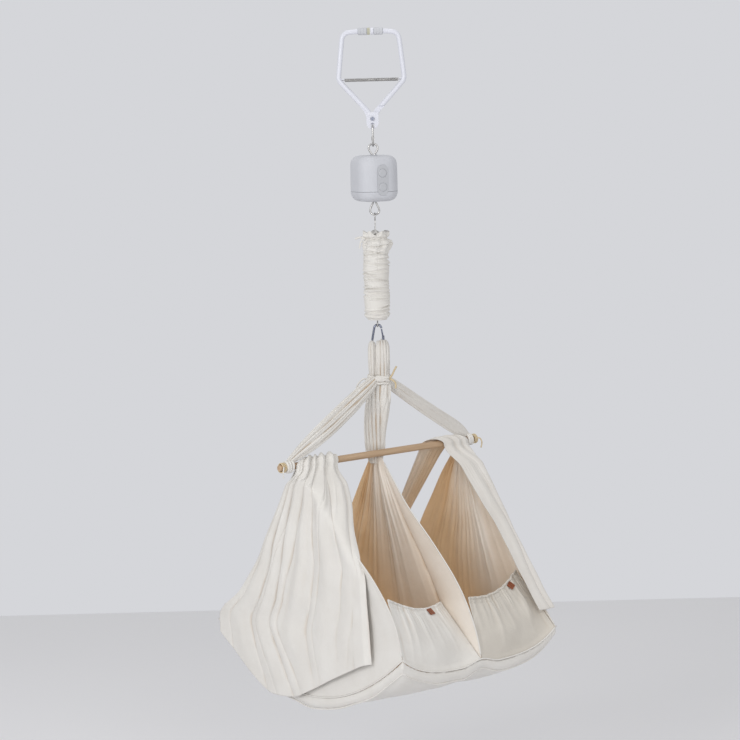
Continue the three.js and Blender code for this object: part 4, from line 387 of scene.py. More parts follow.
make_camera()


# Mesh making
def new_object(name, points, faces, material, smooth_faces=True):
    mesh = bpy.data.meshes.new(name)
    mesh.from_pydata([tuple(p) for p in points], [], [tuple(f) for f in faces])
    mesh.update()
    if smooth_faces:
        mesh.polygons.foreach_set("use_smooth", [True] * len(mesh.polygons))
    made = bpy.data.objects.new(name, mesh)
    bpy.context.scene.collection.objects.link(made)
    for one in material if isinstance(material, (list, tuple)) else [material]:
        made.data.materials.append(one)
    return made


def grid_faces(rows, columns, wrap=False):
    faces = []
    last = columns if wrap else columns - 1
    for i in range(rows - 1):
        for j in range(last):
            k = (j + 1) % columns
            faces.append((i * columns + j, i * columns + k, (i + 1) * columns + k, (i + 1) * columns + j))
    return faces


def keep_values(made, name, values):
    """Gives each point a value of its own, which a material reads."""
    kept = made.data.attributes.new(name, "FLOAT", "POINT")
    kept.data.foreach_set("value", values.reshape(-1).astype(np.float32))


# Depth of a crease, in metres, from which its painted shade is full
FULL_SHADE_DEPTH = 0.0026


def paint_crease_shade(made, points, count, strength, wrap=False, facing=1):
    """Paints shade into creases: keeps how deep each point of a grid lies below the points about 5 and 10 mm from
    it, as its share of painted shade.
    """
    edges = "wrap" if wrap else "edge"
    wide = np.pad(points, ((0, 0), (1, 1), (0, 0)), edges)
    across = (wide[:, 2:] - wide[:, :-2]) / 2
    normal = np.cross(across, np.gradient(points, axis=0))
    normal /= np.linalg.norm(normal, axis=-1, keepdims=True) + 1e-12
    spacing = np.linalg.norm(across, axis=-1).mean() + 1e-9
    depth = 0
    for reach in (0.005, 0.010):
        step = max(1, min(round(reach / spacing), points.shape[1] // 6))
        wide = np.pad(points, ((0, 0), (step, step), (0, 0)), edges)
        middle = (wide[:, 2 * step :] + wide[:, : -2 * step]) / 2
        depth = depth + facing * np.sum((middle - points) * normal, axis=-1) / 2
    uneven = np.clip(0.6 + 0.7 * hills(points, 0.07, 17), 0.1, 1)
    shade = np.zeros(count)
    shade[: depth.size] = np.clip(strength * uneven * np.clip(depth / FULL_SHADE_DEPTH, 0, 1) ** 1.3, 0, 1).reshape(-1)
    keep_values(made, "crease_shade", shade)


def cloth(name, surface, columns, rows, thick, material, inner, inner_shade, flipped, strength=0.5):
    """A sheet over shares u (across) and v (along), with its thickness to both sides."""
    u, v = np.meshgrid(np.linspace(0, 1, columns), np.linspace(0, 1, rows))
    points = surface(u, v)
    made = new_object(name, points.reshape(-1, 3), grid_faces(rows, columns), [material, inner])
    # Painted shade in the creases, by how deep each point lies in them
    paint_crease_shade(made, points, rows * columns, strength, facing=-1 if flipped else 1)
    if flipped:
        made.data.flip_normals()
    # Each point's share of painted tan shade on the inner faces
    keep_values(made, "inner_shade", np.clip(inner_shade(u, v), 0, 1))
    solid = made.modifiers.new("thickness", "SOLIDIFY")
    solid.thickness = thick
    solid.offset = 0
    solid.material_offset = 1
    solid.material_offset_rim = 0
    return made


def rounded_rows(points, reach):
    """Rounds the corners in each row of points. The ends of the row stay where they are."""
    half = int(3 * reach)
    weights = np.exp(-0.5 * (np.arange(-half, half + 1) / reach) ** 2)
    weights /= weights.sum()
    before = 2 * points[:, :1] - points[:, half:0:-1]
    after = 2 * points[:, -1:] - points[:, -2 : -half - 2 : -1]
    wide = np.concatenate([before, points, after], 1)
    return sum(w * wide[:, k : k + points.shape[1]] for k, w in enumerate(weights))


def directions(path):
    along = np.gradient(path, axis=0)
    return along / np.linalg.norm(along, axis=1)[:, None]


def swept(name, path, across, half_width, half_depth, material, sides, folds=None):
    """A folded bundle or strap along a path. across is the section's wide direction."""
    rows = len(path)
    along = directions(path)
    across = np.broadcast_to(np.asarray(across, float), path.shape)
    across = across - along * np.sum(across * along, axis=1)[:, None]
    across /= np.linalg.norm(across, axis=1)[:, None]
    normal = np.cross(along, across)
    turn = np.linspace(0, 2 * math.pi, sides, endpoint=False)[None, :]
    scale = 1 if folds is None else folds(turn, np.linspace(0, 1, rows)[:, None])
    wide = (half_width * np.ones(rows))[:, None] * np.cos(turn) * scale
    deep = (half_depth * np.ones(rows))[:, None] * np.sin(turn) * scale
    points = path[:, None, :] + across[:, None, :] * wide[..., None] + normal[:, None, :] * deep[..., None]
    faces = grid_faces(rows, sides, wrap=True)
    flat = list(points.reshape(-1, 3))
    for row, order in ((0, -1), (rows - 1, 1)):
        hub = len(flat)
        flat.append(points[row].mean(0))
        for j in range(sides):
            faces.append((hub, *[row * sides + j, row * sides + (j + 1) % sides][::order]))
    made = new_object(name, flat, faces, material)
    # Painted shade in the valleys of the folds
    if folds is not None:
        paint_crease_shade(made, points, len(flat), 2.3, wrap=True)
    return made


def tube(name, path, radius, material, sides):
    along = directions(path)
    side = np.cross(along[0], (0, 0, 1) if abs(along[0][2]) < 0.9 else (1, 0, 0))
    across = []
    for direction in along:
        side = side - direction * np.dot(side, direction)
        side /= np.linalg.norm(side)
        across.append(side)
    return swept(name, path, np.array(across), radius, radius, material, sides)


def dressed(made, *nodes, body="cradle", slot="cotton"):
    """Gives a piece the body it moves with and hides the frame nodes whose place it takes; slot is not used."""
    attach(made, body)
    if nodes:
        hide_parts(*nodes)


def rope_folds(count, depth, seed, wander=0.5, keen=0.6):
    """Round ridges with sharp valleys between them, which wander a little along a bundle of cloth."""
    pick = np.random.default_rng(seed)
    phases = pick.uniform(0, 2 * math.pi, 6)

    def scale(turn, share):
        drift = wander * (np.sin(share * 5 + phases[0]) + 0.5 * np.sin(share * 11 + phases[1]))
        warped = turn + 0.35 * np.sin(turn + phases[2]) + 0.16 * np.sin(2 * turn + phases[3] + 2 * share)
        ridge = np.abs(np.cos(0.5 * count * warped + phases[4] + drift)) ** keen
        fine = np.abs(np.cos(1.3 * count * warped + phases[5] - drift)) ** keen
        uneven = 0.75 + 0.25 * np.sin(turn * 2 + phases[0] + share * 3)
        return 1 - depth * uneven * (1 - ridge) - 0.30 * depth * (1 - fine)

    return scale


# Cradle cloth
def cloth_z(x, y):
    """Height of the base's top seam line and cloth at a place."""
    across = np.minimum(1, np.abs(x) / HALF_WIDTH)
    end = np.minimum(1, np.abs(y) / HALF_LENGTH) ** 2
    notch = 0.014 * end * (1 - smooth(np.abs(x) / 0.070))
    sideways = mix(BASE_MID_SAG, BASE_END_SAG, end) * (1 - across**4)
    return SEAM_Z - BASE_SAG * (1 - end) - sideways + notch


def wall_place(x, top_x, top_y, bows, across, down, spread=0.012):
    """A place on a wall: across from front (-1) to back (1), down from the bar (0) to the seam (1)."""
    foot_y = across * HALF_LENGTH
    top = stack(top_x, top_y + across * spread, WALL_TOP_Z)
    foot = stack(x, foot_y, cloth_z(np.asarray(x), foot_y))
    bow = np.where(across < 0, bows[0], bows[1]) * np.sin(math.pi * down * down) * np.abs(across) ** 3
    run = foot - top
    run = run / np.linalg.norm(run, axis=-1, keepdims=True)
    outwards = stack(0 * bow, -run[..., 2], run[..., 1]) * np.sign(across)[..., None]
    return top + (foot - top) * np.asarray(down)[..., None] + outwards * bow[..., None]


LEFT_BOWS = (0.050, -0.048)
RIGHT_BOWS = (-0.010, -0.048)


def wall_folds(u, v, seed):
    """How far a wall's folds stand out: tight gathers at the bar, long soft folds below."""
    tight = 0.0085 * pleats(u, v, 24, seed, (0.007, 0.016), (0.45, 1.3))
    long = 0.011 * pleats(u, v, 9, seed + 1, (0.02, 0.045), (0.9, 1.6), keen=1.2)
    return (tight + long - 0.009) * smooth(v / 0.06) * (1 - smooth((v - 0.78) / 0.22)) * (1 - np.abs(u * 2 - 1) ** 8)


def wall(name, node, x, top_x, top_y, bows, seed, outer, inner, turned_in, flap=None):
    def surface(u, v):
        across = u * 2 - 1
        points = wall_place(x, top_x, top_y, bows, across, v, 0.012 if x else 0.023)
        height = wall_folds(u, v, seed)
        if flap:
            height = height * smooth(u / (flap * 1.6))
            lip = 0.010 * np.exp(-np.abs((u - flap) / 0.010))
            height = height - lip * smooth(v / 0.15) * (1 - smooth((v - 0.75) / 0.2))
        soft = 0.0016 * hills(points, 0.16, seed + 2)
        points[..., 0] += -height + soft * smooth(v / 0.3) * (1 - smooth((v - 0.85) / 0.15))
        return points

    # Each point's share of painted tan shade on the inner face: all of it on the left wall; on the right wall and
    # the divider it grows from the front edge towards the back, changes with the folds and is smaller in the gathers
    # near the bar
    def inner_shade(u, v):
        if flap is None:
            return 0 * u + 1
        deep = np.clip(-wall_folds(u, v, seed) / 0.012, -0.5, 1)
        low = smooth((v - 0.45) / 0.4)
        high = 1 - smooth(v / 0.5)
        front = smooth((u - 0.26 - 0.16 * high + 0.14 * low) / 0.42)
        edge = smooth((u - 0.02) / flap)
        gathered = 0.85 * np.exp(-((v / 0.30) ** 2)) * (1 - smooth((u - 0.62) / 0.2))
        return edge * (1 - gathered) * (0.06 + 0.94 * front + 0.35 * deep * (1 - 0.5 * front) + 0.15 * low)

    made = cloth(name, surface, 260, 120, CLOTH_THICK, outer, inner, inner_shade, turned_in)
    v = np.linspace(0.03, 0.985, 70)[None, :]
    edge = surface(np.zeros_like(v), v)[0]
    hem = tube(name + "_hem", edge, 0.0021, COTTON, 8)
    dressed(hem)
    dressed(made, node)


wall("left_wall_cloth", "wall_left", -HALF_WIDTH, -WALL_X, 0, LEFT_BOWS, 21, COTTON, COTTON_INNER_PAINTED_LIGHT_SHADE, False)
wall("right_wall_cloth", "wall_right", HALF_WIDTH, WALL_X, 0, RIGHT_BOWS, 31, COTTON, COTTON_INNER_PAINTED_LIGHT_SHADE, True, 0.05)
wall("divider_cloth", "wall_centre", 0, 0, 0.021, LEFT_BOWS, 41, COTTON_INNER_PAINTED_LIGHT_SHADE, COTTON_INNER_PAINTED_LIGHT_SHADE, False, 0.13)


# How far a point of the padded base may swell, its mesh size and the frames it takes
SWELL = 0.006
PAD_VOXEL = 0.006
SWELL_FRAMES = 20


def swollen(made):
    """The pad as cloth under pressure, held along its two seams, with each point kept near its place."""
    closed = made.modifiers.new("closed", "REMESH")
    closed.mode = "VOXEL"
    closed.voxel_size = PAD_VOXEL
    graph = bpy.context.evaluated_depsgraph_get()
    mesh = bpy.data.meshes.new_from_object(made.evaluated_get(graph))
    name = made.name
    made.name = name + "_plain"
    bpy.data.objects.remove(made)
    soft = bpy.data.objects.new(name, mesh)
    bpy.context.scene.collection.objects.link(soft)
    before = np.array([v.co for v in mesh.vertices])
    inwards = 1 - np.maximum(np.abs(before[:, 0]) / HALF_WIDTH, np.abs(before[:, 1]) / HALF_LENGTH)
    depth = (cloth_z(before[:, 0], before[:, 1]) - before[:, 2]) / BASE_DEPTH
    seam = np.minimum(np.abs(depth), np.abs(1 - depth))
    held = np.nonzero((inwards < 0.03) & (seam < 0.2))[0]
    group = soft.vertex_groups.new(name="seams")
    group.add([int(k) for k in held], 1.0, "REPLACE")
    pressed = soft.modifiers.new("cloth", "CLOTH")
    pressed.settings.use_pressure = True
    pressed.settings.uniform_pressure_force = 4
    pressed.settings.effector_weights.gravity = 0
    pressed.settings.vertex_group_mass = "seams"
    pressed.point_cache.frame_end = SWELL_FRAMES
    for moment in range(1, SWELL_FRAMES + 1):
        bpy.context.scene.frame_set(moment)
    graph = bpy.context.evaluated_depsgraph_get()
    after = np.array([v.co for v in soft.evaluated_get(graph).data.vertices])
    soft.modifiers.clear()
    soft.vertex_groups.clear()
    bpy.context.scene.frame_set(1)
    free = np.clip(np.maximum(smooth(inwards / 0.10), smooth(seam / 0.35)), 0, 1)[:, None]
    moved = free * SWELL * np.tanh((after - before) / SWELL)
    mesh.vertices.foreach_set("co", (before + moved).astype(np.float32).reshape(-1))
    mesh.materials.clear()
    mesh.materials.append(COTTON)
    mesh.polygons.foreach_set("use_smooth", [True] * len(mesh.polygons))
    rounder = soft.modifiers.new("rounder", "SUBSURF")
    rounder.levels = rounder.render_levels = 1
    return soft


def base():
    def slab(u, v, top):
        cx, cy = u * 2 - 1, v * 2 - 1
        edge = np.maximum(np.abs(cx) ** 10, np.abs(cy) ** 10)
        tuck = 0.0 if top else 0.010
        x = cx * (HALF_WIDTH - tuck * edge)
        y = cy * (HALF_LENGTH - tuck * edge)
        seam = cloth_z(cx * HALF_WIDTH, cy * HALF_LENGTH)
        crown = 0.004 * (1 - cx**4) * (1 - cy**4)
        return stack(x, y, seam - 0.0006 + crown if top else seam - BASE_DEPTH)

    columns, rows = 72, 96
    u, v = np.meshgrid(np.linspace(0, 1, columns), np.linspace(0, 1, rows))
    top = slab(u, v, True)
    low = slab(u, v, False)
    low[..., 2] += 0.0025 * hills(low, 0.12, 5)
    points = list(top.reshape(-1, 3)) + list(low.reshape(-1, 3))
    layer = rows * columns
    faces = grid_faces(rows, columns)
    faces += [tuple(layer + i for i in reversed(f)) for f in grid_faces(rows, columns)]
    rim = list(range(columns))
    rim += [i * columns + columns - 1 for i in range(1, rows)]
    rim += [(rows - 1) * columns + j for j in range(columns - 2, -1, -1)]
    rim += [i * columns for i in range(rows - 2, 0, -1)]
    belly = 5
    top_ring = np.array([points[k] for k in rim])
    low_ring = np.array([points[layer + k] for k in rim])
    start = len(points)
    outward = top_ring[:, :2] / np.array([HALF_WIDTH, HALF_LENGTH])
    outward = np.sign(outward) * (np.abs(outward) > 0.985)
    for k in range(1, belly):
        share = k / belly
        ring = mix(top_ring, low_ring, share)
        ring[:, :2] += outward * 0.007 * math.sin(math.pi * share)
        ring[:, 2] += 0.0015 * hills(ring, 0.05, 8)
        points += list(ring)
    count = len(rim)
    between = [[start + k * count + i for i in range(count)] for k in range(belly - 1)]
    ids = [rim, *between, [layer + i for i in rim]]
    for upper, lower in zip(ids, ids[1:]):
        for i in range(count):
            j = (i + 1) % count
            faces.append((upper[j], upper[i], lower[i], lower[j]))
    made = new_object("base_pad", points, faces, [COTTON])
    made = swollen(made)
    dressed(made, "base_cover", "mattress")
    for name, ring, lift in (("base_piping_top", top_ring, 0.0012), ("base_piping_low", low_ring, -0.0002)):
        line = ring + stack(outward[:, 0] * 0.001, outward[:, 1] * 0.001, lift + 0 * ring[:, 0])
        dressed(tube(name, np.vstack([line, line[:1]]), 0.0022, COTTON, 8))


base()


# Pockets at the foot end and panels at the head end
def pocket(name, node, x0, x1, rises, reaches, belly, end, seed, tab=None, material=COTTON):
    margin = 0.0045

    def surface(u, v):
        middling = np.sin(math.pi * u)
        x = mix(x0, x1, u) - margin * (2 * u - 1)
        foot = stack(x, end * (HALF_LENGTH - 0.0015), cloth_z(x, end * HALF_LENGTH) + 0.001)
        rim_y = mix(reaches[0], reaches[1], u) + 0.5 * belly * middling
        rim = stack(x, end * rim_y, SEAM_Z + mix(rises[0], rises[1], u) - 0.020 * middling)
        points = foot + (rim - foot) * np.asarray(v)[..., None]
        below = 1 - v
        fine = 0.0048 * pleats(u, below, 34, seed, (0.005, 0.010), (0.10, 0.40), 0.03)
        broad = 0.0080 * pleats(u, below, 11, seed + 1, (0.018, 0.04), (0.5, 1.2), 0.08)
        casing = -0.0022 * np.exp(-(((below - 0.085) / 0.014) ** 2))
        calm = smooth(u / 0.05) * smooth((1 - u) / 0.05)
        if tab is not None:
            calm = calm * (1 - np.exp(-(((u - tab) / 0.07) ** 2)) * smooth((v - 0.7) / 0.1))
        bulge = belly * np.sin(math.pi * np.clip(v, 0, 1)) * middling**0.6
        points[..., 1] += end * (bulge + calm * (fine + broad - 0.004) * smooth(v / 0.1) + casing)
        points[..., 1] += end * 0.002 * hills(points, 0.09, seed + 3) * calm * np.sin(math.pi * v)
        return points

    # The inner faces take three quarters of the painted tan shade
    made = cloth(
        name, surface, 240, 80, CLOTH_THICK, material, COTTON_INNER_PAINTED_LIGHT_SHADE, lambda u, v: 0 * u + 0.75, end > 0
    )
    u = np.linspace(0, 1, 160)
    rim = surface(u[None, :], np.ones((1, 160)))[0]
    rim[:, 1] += end * 0.0012
    trims = [tube(name + "_rim", rim, 0.0034, material, 10)]
    for share, side in ((0.0, "outer"), (1.0, "inner")):
        v = np.linspace(0, 1, 40)
        edge = surface(np.full((1, 40), share), v[None, :])[0]
        edge[:, 1] += end * 0.001
        trims.append(tube(f"{name}_seam_{side}", edge, 0.0019, material, 8))
    for trim in trims:
        dressed(trim)
    dressed(made, node)


pocket(
    "left_foot_pocket", "foot_pocket_left", -HALF_WIDTH, 0,
    (0.155, 0.092), (0.338, 0.240), 0.026, -1, 51, 0.70,
)
pocket(
    "right_foot_pocket", "foot_pocket_right", 0, HALF_WIDTH,
    (0.118, 0.140), (0.345, 0.243), 0.026, -1, 61, 0.78, COTTON_DEEP_SHADE,
)
pocket("left_head_panel", "head_panel_left", -HALF_WIDTH, 0, (0.045, 0.045), (0.372, 0.372), 0.010, 1, 71)
pocket("right_head_panel", "head_panel_right", 0, HALF_WIDTH, (0.045, 0.045), (0.372, 0.372), 0.010, 1, 81)


# Drape cloths over the bar
def fold_lines(u, down, table):
    """Folds given one by one: places at the bar, part way and at the hem, widths, heights and keenness."""
    total = np.zeros(np.broadcast(u, down).shape)
    for places, top_wide, hem_wide, heights, keen in table:
        place = eased([[0, places[0]], [0.42, places[1]], [1, places[2]]], down)
        wide = mix(top_wide, hem_wide, down)
        high = eased([[0, heights[0]], [0.42, heights[1]], [1, heights[2]]], down)
        total += high * np.exp(-(np.abs((u - place) / wide) ** keen))
    return total


def drape(name, node, side, bows, shape, inner_x, seed, folds, columns=300, rows=300):
    front, saddle, back = 0.66, 0.14, 0.20
    saddle_r = 0.0163
    outer_x = WALL_X + 0.018
    span = BAR_Z - SEAM_Z

    def lift(u, down):
        soft = shape["soft"] * pleats(u, down, 15, seed, (0.010, 0.022), (0.25, 0.9)) * smooth(down / 0.12)
        edge = smooth(u / 0.02) * smooth((1 - u) / 0.02)
        return (fold_lines(u, down, folds) + soft) * edge

    def hanging(u, down):
        """The front leg: across the front of the wall's edge, round it, and back along its outside."""
        hem_y = mix(-shape["limit"][-1][1], shape["back_at_hem"], u)
        hem = sum(np.interp(hem_y + shift, *zip(*shape["hem"])) for shift in (-0.02, -0.01, 0, 0.01, 0.02)) / 5
        drop = hem * down
        edge = wall_place(side * HALF_WIDTH, 0, 0, bows, -np.ones_like(drop), np.minimum(1, drop))
        limit = -np.interp(drop, *zip(*shape["limit"])) * HALF_LENGTH
        gap = limit - edge[..., 1] + 0.021
        corner = edge[..., 1] - 0.021 + (gap + np.sqrt(gap**2 + 0.018**2)) / 2
        corner = mix(-saddle_r, corner, smooth(drop / 0.12))
        deep = drop * span / (span + BASE_SAG)
        reach_out = np.maximum(mix(WALL_X, HALF_WIDTH, drop), mix(WALL_X, HALF_WIDTH, deep))
        outside = mix(outer_x, reach_out + 0.013, smooth(drop * 4))
        back_y = eased(shape["back_edge"], drop) * HALF_LENGTH
        back_y = mix(-saddle_r, back_y, smooth(drop / 0.12))
        inwards = (outer_x - inner_x) * eased(shape["reach"], drop)
        aside = back_y - corner
        length = inwards + aside
        gone = u * length
        x = outside - np.maximum(0, inwards - gone)
        y = corner + np.maximum(0, gone - inwards)
        return stack(x, y, BAR_Z - drop * span), drop

    def surface(u, v):
        down = np.clip(1 - v / front, 0, 1)
        fall, drop = hanging(u, down)
        fall = rounded_rows(fall, shape["round"] * columns)
        along = np.gradient(fall, axis=1)
        length = np.hypot(along[..., 0], along[..., 1]) + 1e-9
        normal = rounded_rows(stack(along[..., 1] / length, -along[..., 0] / length, 0 * length), 0.02 * columns)
        high = lift(u, down) + 0.0018 * hills(fall, 0.10, seed + 2) * smooth(down / 0.3)
        band = shape["band"]
        if band:
            inside = smooth((band - u) / 0.006) * smooth((drop - 0.50) / 0.08)
            high = high * (1 - 0.8 * inside) + 0.0030 * inside
            high = high - 0.008 * (1 - smooth(u / 0.035)) * smooth((drop - 0.45) / 0.1)
        fall = fall + normal * high[..., None]
        turn = np.clip((v - front) / saddle, 0, 1)
        back_x = mix(shape["back_x"][0], shape["back_x"][1], u)
        over_x = mix(mix(inner_x, outer_x, u), back_x, smooth(turn))
        radius = saddle_r + lift(u, 0 * u) * mix(1, 0.55, smooth(turn))
        over = stack(over_x, -radius * np.cos(turn * math.pi), BAR_Z + radius * np.sin(turn * math.pi))
        tail = np.clip((v - front - saddle) / back, 0, 1)
        run = 0.56 * tail
        end_x = HALF_WIDTH - 0.015 * mix(5, 2, u)
        waves = 0.008 * pleats(u, tail, 8, seed + 5, (0.02, 0.06), (1.2, 2.5)) * smooth(tail * 6)
        start = saddle_r + lift(u, 0 * u) * 0.55 * (1 - smooth(tail * 5))
        behind = stack(mix(back_x, end_x, tail), start + run * 0.42 + waves, BAR_Z - run * 0.58)
        points = np.where((v <= front)[..., None], fall, over)
        points = np.where((v > front + saddle)[..., None], behind, points)
        points[..., 0] *= side
        return points

    # Each point's share of painted tan shade on the inner face, only on the part behind the bar
    def inner_shade(u, v):
        tail = smooth((v - front - saddle * 0.5) / 0.05)
        return tail * (0.30 + 0.35 * smooth((u - 0.3) / 0.3) - 0.25 * smooth((v - 0.9) / 0.1))

    made = cloth(name, surface, columns, rows, 0.0013, shape["material"], COTTON_INNER_PAINTED_LIGHT_SHADE, inner_shade, side < 0, 0.3)
    dressed(made, node)


LEFT_DRAPE = {
    "back_edge": [[0, 0], [0.3, 0.245], [0.595, 0.485], [0.79, 0.69], [0.975, 0.95], [1.4, 0.95]],
    "back_at_hem": 0.95,
    "reach": [[0, 1], [0.2, 0.70], [0.38, 0.30], [0.55, 0.06], [0.72, 0], [1.4, 0]],
    "hem": [[-0.7, 1.053], [-0.29, 1.2], [0.1, 1.352], [0.42, 1.364], [0.95, 1.06]],
    "limit": [[0.4, 0.67], [0.6, 0.69], [1.4, 0.74]],
    "back_x": (0.164, 0.256),
    "soft": 0.0035,
    "round": 0.035,
    "band": 0.10,
    "material": COTTON,
    "flat": (0.66, 1.30),
    "area": 0.38,
}
RIGHT_DRAPE = {
    "back_edge": [[0, 0], [0.2, -0.12], [0.5, -0.36], [0.93, -0.8], [1.4, -0.8]],
    "back_at_hem": -0.8,
    "reach": [[0, 1], [0.15, 0.86], [0.3, 0.74], [0.5, 0.60], [0.93, 0.60], [1.4, 0.60]],
    "hem": [[-1.1, 0.9], [1, 0.9]],
    "limit": [[0, 1.1], [1.4, 1.1]],
    "back_x": (0.168, 0.276),
    "soft": 0.002,
    "round": 0.03,
    "band": 0,
    "material": COTTON_SHADED,
    "flat": (0.12, 1.15),
    "area": 0.12,
}
# Places at the bar, part way and at the hem, width at the bar and the hem, heights at the same places, keenness
LEFT_FOLDS = (
    ((0.18, 0.12, 0.17), 0.075, 0.06, (0.012, 0.007, 0.002), 2.0),
    ((0.43, 0.33, 0.29), 0.070, 0.07, (0.013, 0.009, 0.003), 2.0),
    ((0.61, 0.58, 0.42), 0.040, 0.05, (0.010, 0.009, 0.003), 2.0),
    ((0.78, 0.73, 0.475), 0.055, 0.035, (0.011, 0.010, 0.002), 2.0),
    ((0.90, 0.84, 0.59), 0.025, 0.06, (0.006, 0.011, 0.004), 1.8),
    ((0.95, 0.95, 0.80), 0.020, 0.07, (0.003, 0.008, 0.004), 1.8),
    ((0.07, 0.06, 0.15), 0.012, 0.012, (-0.003, -0.004, -0.001), 1.0),
    ((0.31, 0.20, 0.21), 0.010, 0.014, (-0.006, -0.005, 0), 1.0),
    ((0.55, 0.47, 0.37), 0.010, 0.014, (-0.005, -0.006, -0.001), 1.0),
    ((0.67, 0.68, 0.45), 0.008, 0.010, (-0.005, -0.007, -0.002), 1.0),
    ((0.87, 0.77, 0.51), 0.008, 0.010, (-0.003, -0.011, -0.004), 1.0),
    ((0.91, 0.89, 0.69), 0.007, 0.011, (-0.002, -0.009, -0.002), 1.0),
    ((0.97, 0.975, 0.91), 0.006, 0.010, (-0.001, -0.004, -0.002), 1.0),
    ((0.37, 0.40, 0.33), 0.006, 0.008, (0, -0.003, -0.001), 1.0),
    ((0.74, 0.83, 0.62), 0.005, 0.008, (0, -0.004, -0.002), 1.0),
)
RIGHT_FOLDS = (
    ((0.25, 0.25, 0.25), 0.11, 0.10, (0.006, 0.004, 0.002), 2.0),
    ((0.58, 0.52, 0.50), 0.09, 0.08, (0.007, 0.005, 0.002), 2.0),
    ((0.86, 0.80, 0.75), 0.09, 0.08, (0.005, 0.004, 0.002), 2.0),
    ((0.42, 0.38, 0.36), 0.02, 0.02, (-0.001, -0.003, -0.002), 1.0),
)


drape("left_drape", "drape_left", -1, LEFT_BOWS, LEFT_DRAPE, 0.172, 91, LEFT_FOLDS)
drape("right_drape", "drape_right", 1, RIGHT_BOWS, RIGHT_DRAPE, 0.228, 101, RIGHT_FOLDS, 200, 260)


# Head of the cloth, knot and straps
def strap(hand, side, half, thick, material, folds):
    """A slanting strap: half widths and depths from the knot down to the bar, and its turns round the bar."""
    start = np.array([side * 0.016, -0.002, -0.972])
    end = np.array([side * STRAP_X, 0.0, BAR_Z + BAR_R + 0.003])
    share = np.linspace(0, 1, 130)
    path = start + (end - start) * share[:, None]
    path[:, 1] -= 0.004 * np.sin(math.pi * share)
    path[:, 2] -= 0.006 * np.sin(math.pi * share)
    run = (end - start) / np.linalg.norm(end - start)
    width = eased(list(zip((0, 0.12, 0.45, 0.75, 0.93, 1), half)), share)
    depth = eased(list(zip((0, 0.4, 0.85, 1), (*thick, 0.005))), share)
    made = swept(f"{hand}_strap", path, np.array([-run[2], 0, run[0]]), width, depth, material, 128, folds)
    dressed(made, f"strap_{hand}")
    turn = np.linspace(0, 2 * math.pi, 49)
    reach = BAR_R + 0.0035
    for k in range(3):
        x = side * (STRAP_X + (k - 1) * 0.0075)
        loop = stack(x + 0.0025 * np.sin(turn + k), reach * np.cos(turn), BAR_Z + reach * np.sin(turn))
        dressed(tube(f"{hand}_strap_wrap_{k}", loop, 0.0042, COTTON, 12))


def straps():
    strap(
        "left", -1, (0.016, 0.024, 0.030, 0.026, 0.015, 0.009), (0.012, 0.013, 0.009),
        COTTON, rope_folds(9, 0.55, 111, 0.6, 0.75),
    )
    strap(
        "right", 1, (0.014, 0.018, 0.0205, 0.0215, 0.016, 0.007), (0.009, 0.006, 0.004),
        COTTON_SHADED, rope_folds(5, 0.34, 121, 0.3),
    )
    share = np.linspace(0, 1, 120)
    top, low = -0.974, BAR_Z - BAR_R - 0.022
    path = stack(0.0 * share, 0.0215 * smooth(share / 0.75), mix(top, low, share))
    width = eased([[0, 0.031], [0.1, 0.034], [0.5, 0.036], [0.82, 0.035], [0.92, 0.029], [1, 0.017]], share)
    depth = eased([[0, 0.014], [0.4, 0.016], [0.75, 0.012], [0.86, 0.0085], [1, 0.006]], share)
    turned = -0.72 * (1 - 0.75 * smooth((share - 0.3) / 0.45) + 0.75 * smooth((share - 0.92) / 0.08))
    wide = stack(np.cos(turned), np.sin(turned), 0 * share)
    made = swept("centre_strap", path, wide, width, depth, COTTON, 180, rope_folds(11, 0.44, 131, 0.8, 0.8))
    dressed(made, "strap_centre")


def head():
    top = HOOK_LOW_Z + 0.0035
    for name, x, half, deep, seed, nodes in (
        ("head_bundle_right", 0.012, 0.0205, 0.012, 141, ("cloth_head",)),
        ("head_bundle_left", -0.018, 0.0115, 0.010, 151, ()),
    ):
        radius = 0.0045 + deep
        places = [
            (x, -0.004, PINCH_Z - 0.010),
            (x * 0.95, -0.008, PINCH_Z + 0.010),
            (x, -radius * 1.02, PINCH_Z + 0.045),
            (x, -radius, top - 0.012),
            (x * 0.95, 0.0, top + deep * 0.75),
            (x, radius, top - 0.012),
            (x, radius * 1.02, PINCH_Z + 0.045),
            (x * 0.95, 0.008, PINCH_Z + 0.010),
            (x, 0.004, PINCH_Z - 0.010),
        ]
        path = chained(curve_through(places, 140))
        share = np.linspace(0, 1, 140)
        middle = np.abs(share * 2 - 1)
        width = half * (1 - 0.12 * smooth((middle - 0.55) / 0.45)) * mix(0.85, 1, smooth(middle / 0.2))
        folds = rope_folds(9, 0.42, seed, 0.4, 0.8)
        made = swept(name, path, chained([[1, 0, 0]])[0], width, deep, COTTON_SHADED, 96, folds)
        dressed(made, *nodes)

    turn = np.linspace(0, 2 * math.pi, 97)
    bands = (
        (0.0075, 0.0290, 0.0190, 0.0040),
        (0.0015, 0.0305, 0.0205, 0.0048),
        (-0.0050, 0.0300, 0.0200, 0.0046),
        (-0.0110, 0.0280, 0.0180, 0.0036),
    )
    for k, (drop, wide, deep, thick) in enumerate(bands):
        ripple = 1 + 0.02 * np.sin(turn * 9 + 2 * k)
        level = PINCH_Z + drop + 0.0022 * np.sin(turn + 1.7 * k) + 0.0008 * np.sin(7 * turn + k)
        loop = chained(stack(wide * ripple * np.cos(turn), deep * ripple * np.sin(turn), level))
        dressed(tube(f"knot_band_{k}", loop, thick, COTTON, 14))


straps()
head()


